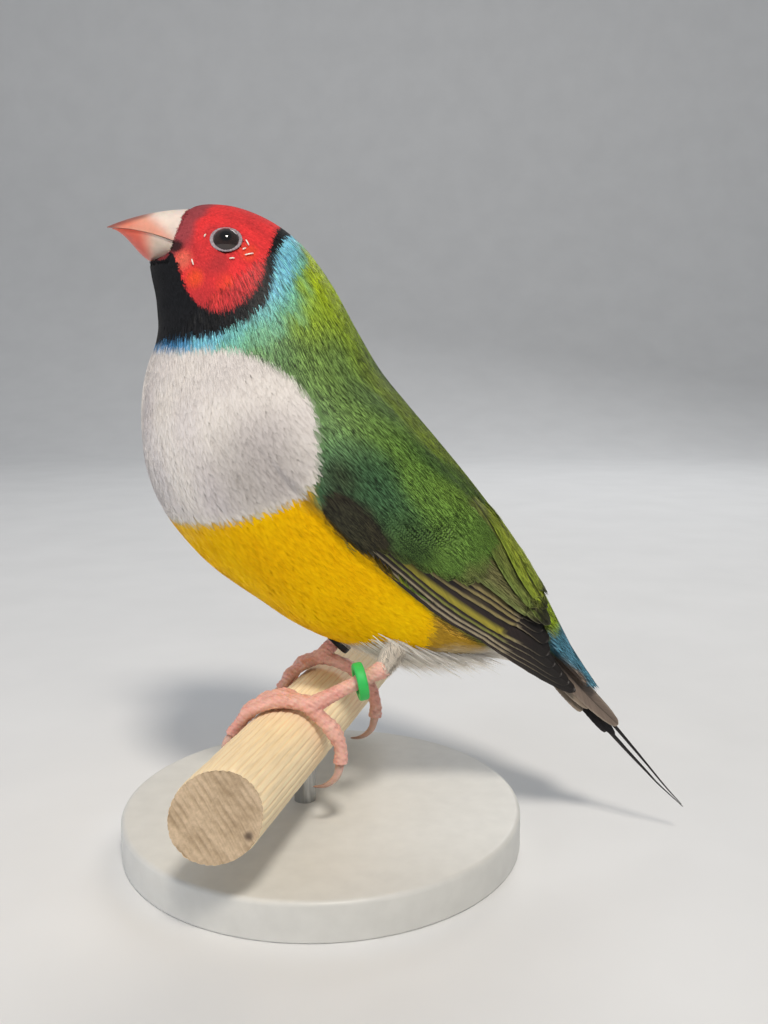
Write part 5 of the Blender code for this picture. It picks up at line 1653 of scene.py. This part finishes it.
def area_light(name, place, target, size, watts, colour="#FFFFFF", mirrored=True):
    light = bpy.data.lights.new(name, "AREA")
    light.shape, light.size, light.energy = "DISK", size, watts
    light.color = linear(colour)
    thing = bpy.data.objects.new(name, light)
    thing.location = place
    way = Vector(target) - Vector(place)
    thing.rotation_euler = way.to_track_quat("-Z", "Y").to_euler()
    thing.visible_glossy = mirrored
    bpy.context.scene.collection.objects.link(thing)


def make_light():
    world = bpy.data.worlds.new("studio")
    world.use_nodes = True
    background = world.node_tree.nodes["Background"]
    background.inputs["Color"].default_value = (*linear("#DDE4EC"), 1)
    background.inputs["Strength"].default_value = 0.3
    bpy.context.scene.world = world
    middle = (0.005, 0.0, 0.06)
    area_light("key", (0.10, -0.48, 0.70), middle, 0.14, 4.5, "#FFF6EA")
    area_light("fill", (-0.55, -0.3, 0.12), middle, 0.7, 1.5, "#F2F5FF", False)
    area_light("rim", (0.2, 0.6, 0.5), middle, 0.4, 1.6)
    bpy.context.scene.view_settings.view_transform = "Standard"


def make_camera():
    lens = bpy.data.cameras.new("photo")
    lens.lens, lens.sensor_width, lens.sensor_height = 35.16, 36, 36
    lens.sensor_fit = "VERTICAL"
    lens.clip_start = 0.005
    camera = bpy.data.objects.new("photo", lens)
    camera.location = (0.010, -0.155, 0.076)
    camera.rotation_euler = (math.radians(90 - 8.3), 0, 0)
    bpy.context.scene.collection.objects.link(camera)
    bpy.context.scene.camera = camera


SALMON = linear("#E0705C")


LIME, LEAF, GREEN = linear("#B4CA1E"), linear("#8AA636"), linear("#688C3C")


DARK_GREEN, SEA_GREEN, OLIVE = linear("#34502C"), linear("#4A7C62"), linear("#7C8C2E")


SILK, PEARL = linear("#ECE6E0"), linear("#DAD3D4")


TAIL_BLUE, TAIL_TEAL = linear("#5A8FA5"), linear("#386878")


LORES_EDGE = ((-15.1, 101), (-16.4, 98.6), (-17.0, 96.6), (-17.6, 94.6), (-18.5, 92.8),
              (-21, 91.5))


REAR_FLANK = ((14.6, 44), (16.3, 41.6), (17.2, 39.2), (17.3, 36.8), (16.4, 34))


STUBBLE = {"along": (0.0, 0.3, 0.66, 1.0), "width": (0.8, 1.0, 0.95, 0.5), "columns": 3}


HAIRY = {"along": (0.0, 0.45, 0.8, 1.0), "width": (0.6, 1.0, 0.75, 0.2), "columns": 3}


def streaks(count, share):
    """A tone for each feather, with some much darker than the rest."""
    return np.where(dice.uniform(0, 1, count) < share, 0.4, 1.0)


FLIGHT = (
    ((12.8, 13.9, 15.0, 16.4, 17.8, 19.25), (88.5, 87.3, 88.3, 92.0, 95.0, 96.5), 3.4, "dark"),
    ((12.9, 13.9, 15.0, 16.4, 17.7, 18.85), (86.8, 85.4, 86.6, 89.6, 88.5, 91), 3.4, "cream"),
    ((13.0, 13.9, 15.0, 16.4, 17.5, 18.4), (84.8, 83.2, 83.8, 86.0, 83.6, 86), 3.4, "cream"),
    ((13.1, 13.9, 15.0, 16.2, 17.1, 17.95), (82.3, 80.9, 80.8, 81.8, 78.5, 81), 3.6, "olive"),
    ((13.2, 13.9, 15.0, 16.1, 16.9, 17.5), (80.0, 78.8, 77.6, 77.8, 74.0, 76), 4.2, "yellow"),
    ((13.3, 14.0, 15.0, 15.9, 16.6, 17.15), (75.8, 73.6, 69.6, 66.3, 63.8, 66), 4.4, "tan"),
    ((13.4, 14.2, 15.0, 15.7, 16.3, 16.8), (72.5, 69.2, 64.8, 62.3, 61.3, 61), 4.4, "tan"),
    ((13.4, 14.2, 14.9, 15.5, 16.0, 16.5), (69.0, 65.6, 62.0, 59.6, 58.3, 58.5), 4.4, "tan"),
)


TERTIALS = (
    ((12.6, 13.5, 14.4, 15.2, 15.9, 16.6), (59.0, 61.0, 59.5, 57.6, 57.0, 58.5), 5.0, "low"),
    ((12.6, 13.5, 14.4, 15.2, 15.9, 16.75), (27.0, 34.0, 42.8, 47.8, 51.2, 55.5), 4.6, "middle"),
    ((12.8, 13.6, 14.4, 15.1, 15.7, 16.4), (20.0, 25.5, 32.0, 38.0, 42.5, 47.0), 4.4, "high"),
    ((13.0, 13.6, 14.2, 14.8, 15.4, 15.9), (9.0, 14.0, 19.0, 24.2, 30.0, 35.0), 4.2, "high"),
)


COVERT_TIPS = ((13.15, 80.5), (13.35, 77.6), (13.7, 74.6), (14.05, 71.2), (14.4, 67.3),
               (14.7, 62.6), (14.8, 57.2), (14.6, 51.5), (14.3, 45.5))


QUILL_BROWN, PALE_EDGE, YELLOW_EDGE = linear("#2A211F"), linear("#A2967A"), linear("#968C30")


OLIVE_EDGE, TAN_EDGE = linear("#80823E"), linear("#8A7E52")


SHAFT_TONE, TIP_BLACK = linear("#171312"), linear("#1D1917")


WEB_TONES = {"dark": QUILL_BROWN * 1.6, "cream": PALE_EDGE, "olive": OLIVE_EDGE,
             "yellow": YELLOW_EDGE, "tan": TAN_EDGE}


TERTIAL_TONES = {"low": linear("#76744A"), "middle": linear("#7E8844"),
                 "high": linear("#A2B03C")}


def flight_paint(kind, width, outer, cover):
    """Dark brown vanes with a narrow pale outer web that fades towards the tip."""
    def paint(c, t):
        c = outer * c
        far = (1 - c) * width / 2
        web = 0.25 * (1 - ease(t, 0.5, 0.8)) + 0.07
        web = web * {"tan": 1.8, "yellow": 2.1}.get(kind, 1)
        web = np.minimum(web, 0.42 * np.maximum(cover(t), 0.15))
        dark = mixed(QUILL_BROWN, TIP_BLACK, ease(t, 0.6, 0.9))
        rim = mixed(WEB_TONES[kind], PALE_EDGE, ease(t, 0.55, 0.75))
        pale = ease(-far / web, -1.15, -0.85) * (1 - 0.7 * ease(t, 0.6, 0.85))
        pale = pale * (1 - ease(t, 0.88, 0.97)) * (0.25 if kind == "dark" else 1)
        return mixed(dark, rim, pale)

    return paint


def tertial_paint(kind, width, outer, cover):
    """Green, with a dark slit along the next feather's edge and a dark, pale-rimmed tip."""
    def paint(c, t):
        c = outer * c
        far = (1 - c) * width / 2
        # Painted shadow along the next feather's edge, over this feather's dark inner web
        past = far - cover(t)
        slit = ease(past, -0.3, -0.08) * (1 - ease(past, 0.3, 0.6))
        green = mixed(TERTIAL_TONES[kind], GREEN, 0.3 * ease(c, 0.2, 1.0))
        base = mixed(green, TIP_BLACK, 0.85 * slit)
        tip = ease(t + 0.05 * (1 - c), 0.82, 0.95)
        base = mixed(base, TIP_BLACK, 0.9 * tip)
        rim = ease(-far, -0.16, -0.06) * ease(t, 0.75, 0.9)
        return mixed(base, PALE_EDGE, 0.35 * rim)

    return paint


def covert_paint(path_points, path_angles, outer, width):
    """The body's own green at the feather's place, darker towards the root."""
    sections, angles = path_points, path_angles

    def paint(c, t):
        at = sections[:, None] + 0 * c, angles[:, None] + 0 * c
        colour = plumage(COAT.point(*at), *at, -3.0)
        colour = mixed(colour, OLIVE_EDGE, 0.3)
        # Painted shade: darker towards the root, where the next feathers lie over it
        return np.clip(colour * (0.6 + 0.3 * t)[..., None], 0, 1)

    return paint


def laid_vane(edge, width, side, lean, height, paint_for, key, rows=36, width_at=None, **more):
    """A vane whose outer edge follows guide places on the wing and whose inner edge is tucked.

    The outer edge is the lower one on both sides. height is how far it stands over the wing.
    """
    t = np.linspace(0, 1, rows)
    steps = t * (len(edge[0]) - 1)
    s = through(np.array(edge[0])[:, None], steps)[..., 0]
    a = np.radians(through(np.array(edge[1])[:, None], steps)[..., 0])
    wide = width_at(t) * width if width_at else vane_widths(width, t, 0.7, 0.12, 5)
    _, over = WING_BED.ways(s, side * a)
    radian = np.linalg.norm(over, axis=-1)
    centre = a - width / 2 * math.cos(lean) / radian
    lift = height - wide / 2 * math.sin(lean)
    path = WING_BED.point(s, side * centre, lift + 0 * s)
    normals = WING_BED.normal(s, side * centre)
    tangents = np.gradient(path, axis=0)
    sideways = unit(np.cross(normals, tangents))
    outwards = WING_BED.point(s, side * a) - WING_BED.point(s, side * centre)
    outer = 1 if (sideways * outwards).sum() > 0 else -1
    return long_vane(path, normals, wide, outer * lean, 0.0, more.pop("camber", 0.05),
                     0.11, paint_for(outer, s, centre, side), more.pop("notches", 0.02),
                     key), (s, centre)


def cover_of(edge, after, side):
    """How far, in mm along the vane, the next feather's edge is from this one's own edge."""
    def cover(t):
        steps = np.asarray(t) * (len(edge[0]) - 1)
        s = through(np.array(edge[0])[:, None], steps)[..., 0]
        a = through(np.array(edge[1])[:, None], steps)[..., 0]
        order = np.linspace(0, 1, 40) * (len(after[0]) - 1)
        s_next = through(np.array(after[0])[:, None], order)[..., 0]
        a_next = through(np.array(after[1])[:, None], order)[..., 0]
        radian = np.linalg.norm(WING_BED.ways(s, np.radians(a))[1], axis=-1)
        return np.radians(a - np.interp(s, s_next, a_next)) * radian
    return cover


def make_face_bristles():
    """Short bristly feathers that lap over the bill's base and close the corner of the gape."""
    material = feather_material("bristles_round_the_bill", 0.8, 0.04, 0.12, 3.0, gloss=0.12)
    sections = np.arange(0, 6.0, 0.01)
    angles = np.radians(np.arange(-180, 180, 1.0))
    s, a = np.meshgrid(sections, angles, indexing="ij")
    inside = before_face(COAT.point(s, a), 0.0)
    edge = inside[:-1] & ~inside[1:]
    s, a = s[:-1][edge], a[:-1][edge]
    pick = dice.integers(0, len(s), 2600)
    s = s[pick] + 0.03 + dice.uniform(0, 0.5, len(pick)) ** 1.5
    a = a[pick] + dice.normal(0, 0.02, len(pick))
    root, normal = COAT.point(s, a, -0.2), COAT.normal(s, a)
    along, _ = COAT.ways(s, a)
    under = ease(folded(a), 105, 150)[:, None]
    lie = -unit(along) * (1 - 0.3 * under) + 0.3 * UP * under + 0.22 * normal
    lie = unit(lie + dice.normal(0, 0.14, (len(s), 3)))
    inward = np.stack([0 * s, -np.sign(root[:, 1]), 0 * s], axis=1)
    length = dice.uniform(0.2, 0.48, len(s)) * (1 + 0.5 * (1 - ease(folded(a), 50, 75)))
    uv = unwrapped(s, a)
    part = strands(root, lie, normal, length, 0.05, 0.0, plumage(COAT.point(s, a), s, a),
                   uv[:, 0], uv[:, 1])
    reach = np.array((0.0, 0.35, 0.7, 1.0))[None, :, None, None]
    part["points"] = part["points"] + (inward * (0.2 * length)[:, None])[:, None, None] * reach ** 2
    coat_piece("face_bristles", [part], material)


SHEATHS = (((-17.2, 90.7), (-0.4, 1.0), 1.0), ((-11.5, 91.1), (1.0, 0.05), 0.8),
           ((-9.2, 91.7), (1.0, 0.35), 1.4), ((-9.6, 93.3), (-0.4, 1.0), 1.1),
           ((-9.9, 92.5), (0.7, 0.4), 0.6), ((-15.5, 94.4), (0.3, 0.8), 0.5))


def side_place(x, z):
    """The section and angle of the left side's surface nearest a place of the side view."""
    sections = np.arange(0, 20, 0.05)
    angles = np.radians(np.arange(2, 178, 1.0))
    s, a = np.meshgrid(sections, angles, indexing="ij")
    points = COAT.point(s, a)
    away = np.hypot(points[..., 0] - x, points[..., 2] - z)
    best = np.unravel_index(np.argmin(away), away.shape)
    return s[best], a[best]


def make_sheaths():
    """Waxy white sheaths of new feathers, which show on the cheek and behind the eye."""
    # Keratin sheath: waxy, off-white, a little translucent
    wax = surface_material("waxy_feather_sheath", "#F3E2D8", "#FFF6EE", 0.5, 0.35, 0.01,
                           Subsurface_Weight=0.3, Subsurface_Scale=0.3 * MM)
    parts = []
    for (x, z), (dx, dz), length in SHEATHS:
        s, a = side_place(x, z)
        middle, normal = COAT.point(s, a, 0.24), COAT.normal(s, a)
        way = unit(np.array((dx, 0.0, dz)) - normal * (dx * normal[0] + dz * normal[2]))
        share = np.linspace(-0.5, 0.5, 12)
        path = middle + np.outer(share * length, way) + np.outer(-0.3 * share ** 2, normal)
        radii = 0.11 * np.sqrt(np.clip(1 - (2 * share) ** 4, 0.02, 1))
        parts.append(closed_tube(tube(path, radii, 10)))
    points, faces = merged(parts)
    make_piece("feather_sheaths", points, faces, wax)


RED_TIP, HORN_DUSK, CREAM = linear("#D8452F"), linear("#7E4A44"), linear("#CFC0AE")


SOFT = {"along": (0.0, 0.5, 0.82, 1.0), "width": (0.7, 1.0, 0.7, 0.16), "columns": 3}


def strands(root, lie, out, length, half_width, droop, colour, bake_u, bake_v, dark=0.12):
    """Loose barbs, each from its root along its lie, bending down at the tip."""
    count = len(root)
    cross = unit(np.cross(lie, out) + 1e-6)
    steps = np.array((0.0, 0.35, 0.7, 1.0))
    halves = np.array((0.8, 1.0, 0.8, 0.12)) * half_width
    rows = []
    for step, half in zip(steps, halves):
        centre = root + lie * (length * step)[:, None]
        centre = centre - UP * (droop * length * step ** 2)[:, None]
        rows.append(np.stack([centre - cross * half, centre + cross * half], axis=1))
    points = np.stack(rows, axis=1)
    tones = np.where(dice.uniform(0, 1, count) < dark, 0.5, 1.0) * dice.uniform(0.85, 1.08, count)
    base = np.broadcast_to(colour, (count, 3)) * tones[:, None]
    colours = np.clip(base, 0, 1)[:, None, None, :] + 0 * points
    c = np.broadcast_to(np.array((-1.0, 1.0)), (count, 4, 2))
    t = np.broadcast_to(steps[None, :, None], c.shape)
    vane = np.stack([c, t, np.mod(bake_u * 7, 1)[:, None, None] + 0 * c], axis=-1)
    bake = np.stack([bake_u * 0.95, bake_v * 0.95], axis=-1)[:, None, None, :]
    bake = bake + BAKE_PATCH * np.stack([c * 0.5 + 0.5, t], axis=-1)
    return {"points": points, "colours": colours, "vane": vane, "bake": bake}


def barbs_over(vane, lies, side, count, reach):
    """Fine loose barbs on top of a long vane, which run down it and a little outwards."""
    columns = len(VANE_COLUMNS)
    top, colours = vane["points"][:, :columns], vane["colours"][:, :columns]
    rows = len(top)
    r = dice.uniform(reach[0], reach[1], count) * (rows - 2)
    across = dice.uniform(-0.9, 0.97, count)
    low = r.astype(int)
    t = (r - low)[:, None]
    c = np.interp(across, VANE_COLUMNS, np.arange(columns))
    left = np.minimum(c.astype(int), columns - 2)
    u = (c - left)[:, None]

    def at(grid, row):
        return grid[row, left] * (1 - u) + grid[row, left + 1] * u

    before, after = at(top, low), at(top, low + 1)
    ahead = unit(after - before)
    sideways = unit(top[low, columns - 1] - top[low, 0])
    out = unit(np.cross(sideways, ahead))
    out = out * np.sign((out * (top[low, 6] - vane["points"][low, -7])).sum(-1, keepdims=True))
    lie = unit(ahead + sideways * (0.12 * across + dice.normal(0, 0.05, count))[:, None]
               + out * 0.03)
    root = before * (1 - t) + after * t + out * 0.03
    length = dice.uniform(0.9, 2.2, count) * (1 - 0.6 * (r / rows) ** 2)
    tone = dice.choice((0.3, 0.6, 0.9, 1.3, 1.7), count)[:, None]
    section, angle = lies[0][low], side * lies[1][low] + 0.05 * across
    uv = unwrapped(section, angle)
    return strands(root, lie, out, length, 0.045, 0.0, np.clip(at(colours, low) * tone, 0, 1),
                   uv[:, 0] / 0.95, uv[:, 1] / 0.95, 0.0)


def make_vent_wisps():
    """Long loose barbs of the vent's down, which hang behind the thighs."""
    silk = feather_material("loose_vent_down", 0.65, 0.15, 0.06, 3.0, gloss=0.2)
    count = 2800
    s = dice.uniform(14.6, 16.6, count)
    turn = dice.uniform(118, 180, count)
    side = np.where(dice.uniform(0, 1, count) < 0.5, -1, 1)
    a = np.radians(turn) * side
    root = COAT.point(s, a, -0.2)
    normal = COAT.normal(s, a)
    along, _ = COAT.ways(s, a)
    back = unit(np.array((0.95, 0.0, -0.3)))
    lie = unit(unit(along) * 0.5 + back * 0.7 + normal * dice.uniform(0.0, 0.25, (count, 1))
               + dice.normal(0, 0.08, (count, 3)))
    length = dice.uniform(2.4, 7.0, count)
    uv = unwrapped(s, a)
    part = strands(root, lie, normal, length, 0.08, 0.1, linear("#FBF6EE"), uv[:, 0],
                   uv[:, 1], 0.03)
    coat_piece("vent_wisps", [part], silk)


def covert_width(t):
    """A broad vane that ends in a half round."""
    end = np.clip((t - 0.74) / 0.26, 0, 1)
    return np.sqrt(np.clip(1 - end ** 2.2, 0.01, 1)) * (0.75 + 0.25 * ease(t, 0, 0.4))


LORES_TONE = linear("#94444A")
MANTLE_GREEN, TAUPE = linear("#7E9C5E"), linear("#85776B")


NECK_GREEN = linear("#8CBB68")


UMBER, DOWN, TAN_SHADED_DOWN = linear("#33291F"), linear("#EEE8DE"), linear("#C4AE84")


BARS = (((14.6, 50.8), 4.6, 0.9), ((18.6, 52.2), 3.4, 0.8), ((10.6, 53.8), 3.2, 0.6))


BROWN_PATCH = (((5.6, 53.6), 4.9), ((3.8, 55.6), 3.4), ((3.2, 56.6), 2.8), ((8.4, 50.6), 3.8), ((11.0, 47.6), 3.0))


def hair_over(places, count, length, width, tones, push=0.0, spread=0.09):
    """Fine single barbs that lie over the feathers of these places."""
    pick = dice.integers(0, len(places[0]), count)
    roots = (places[0][pick] + dice.normal(0, 0.05, count),
             places[1][pick] + dice.normal(0, 0.02, count))
    return grow(roots, dice.uniform(*length, count), width, 0.09,
                dice.normal(0, spread, count), HAIR, 0.0, shade=(0.96, 1.04), jitter=0.05,
                tone=dice.choice(tones, count), push=push, sink=8)


PINS = {"left": ((3.0, 1.0, 0.7), (12.0, 0.5, 0.6), (18.0, 0.15, 0.5), (24.1, 0.3, 0.5),
                 (29.1, 0.53, 0.5), (32.7, 0.7, 0.45), (38.2, 1.38, 0.35)),
        "right": ((3.0, 1.4, 0.7), (12.0, 1.3, 0.6), (18.0, 1.25, 0.5), (21.9, 1.3, 0.5),
                  (27.6, 1.3, 0.5), (33.9, 1.25, 0.45), (38.1, 1.41, 0.35))}


TAIL_TONES = {"grey": linear("#7A6C61"), "pale": linear("#857768"), "black": linear("#211D1E")}


TAIL_RIM = linear("#B3A595")


def tail_path(places, side, steps):
    along, up, out = through(places, np.linspace(0, len(places) - 1, steps)).T
    return (TAIL_ROOT + np.outer(along, TAIL_ALONG) + np.outer(up, TAIL_UP)
            + np.outer(out, (0, -side, 0)))


def sawn_end(flat):
    """Tone and roughness of the sawn face: strokes of the saw and torn fibres across it."""
    turn = math.radians(57)
    over = flat[:, 0] * math.sin(turn) + flat[:, 1] * math.cos(turn)
    down = flat[:, 0] * math.cos(turn) - flat[:, 1] * math.sin(turn)
    strokes = waves(np.stack([over, down * 0.08, 0 * over], axis=1), 0.45, 14)
    fibres = waves(np.stack([over, down * 0.15, 0 * over], axis=1), 0.2, 16)
    blots = waves(flat, 2.6, 15)
    tone = mixed(END_TONE, END_DARK, np.clip(0.3 + 0.2 * strokes + 0.22 * fibres + 0.22 * blots, 0, 1))
    tone = mixed(tone, KNOT, 0.8 * near(flat[:, 0], flat[:, 1], (4.2, -2.3), 0.9))
    return tone, 0.05 * strokes + 0.03 * fibres + 0.08 * blots


END_TONE, END_DARK, KNOT = linear("#CDB699"), linear("#9A8468"), linear("#4A3A34")


def main():
    make_camera()
    make_stage()
    make_light()
    make_skin()
    make_coat()
    make_face_bristles()
    make_sheaths()
    make_vent_wisps()
    make_bill()
    make_eyes()
    make_wings()
    make_tail()
    skin = tinted_material("scaled_leg_skin", 0.5, 0.5, 0.05, 0.05, Subsurface_Weight=0.35,
                           Subsurface_Scale=0.8 * MM)
    horn = tinted_material("claw_horn_thin", 0.3, 0.8, 0.01, 0.08, Subsurface_Weight=0.3,
                           Subsurface_Scale=0.6 * MM)
    for name in SIDES:
        make_leg(name, skin)
        make_claws(name, horn)
        make_thigh(name)
    # Injection-moulded nylon: even, bright and a little translucent
    nylon = surface_material("green_nylon", "#2FBF57", "#37C962", 2.0, 0.55, 0.002,
                             Subsurface_Weight=0.25, Subsurface_Scale=0.8 * MM)
    # Anodised aluminium: a satin black skin over bare metal
    anodised = surface_material("black_anodised_aluminium", "#17181A", "#1E1F21", 0.6, 0.4,
                                0.002, Metallic=0.6)
    make_ring("left", nylon)
    make_ring("right", anodised)
    make_perch()
    make_stand()


main()
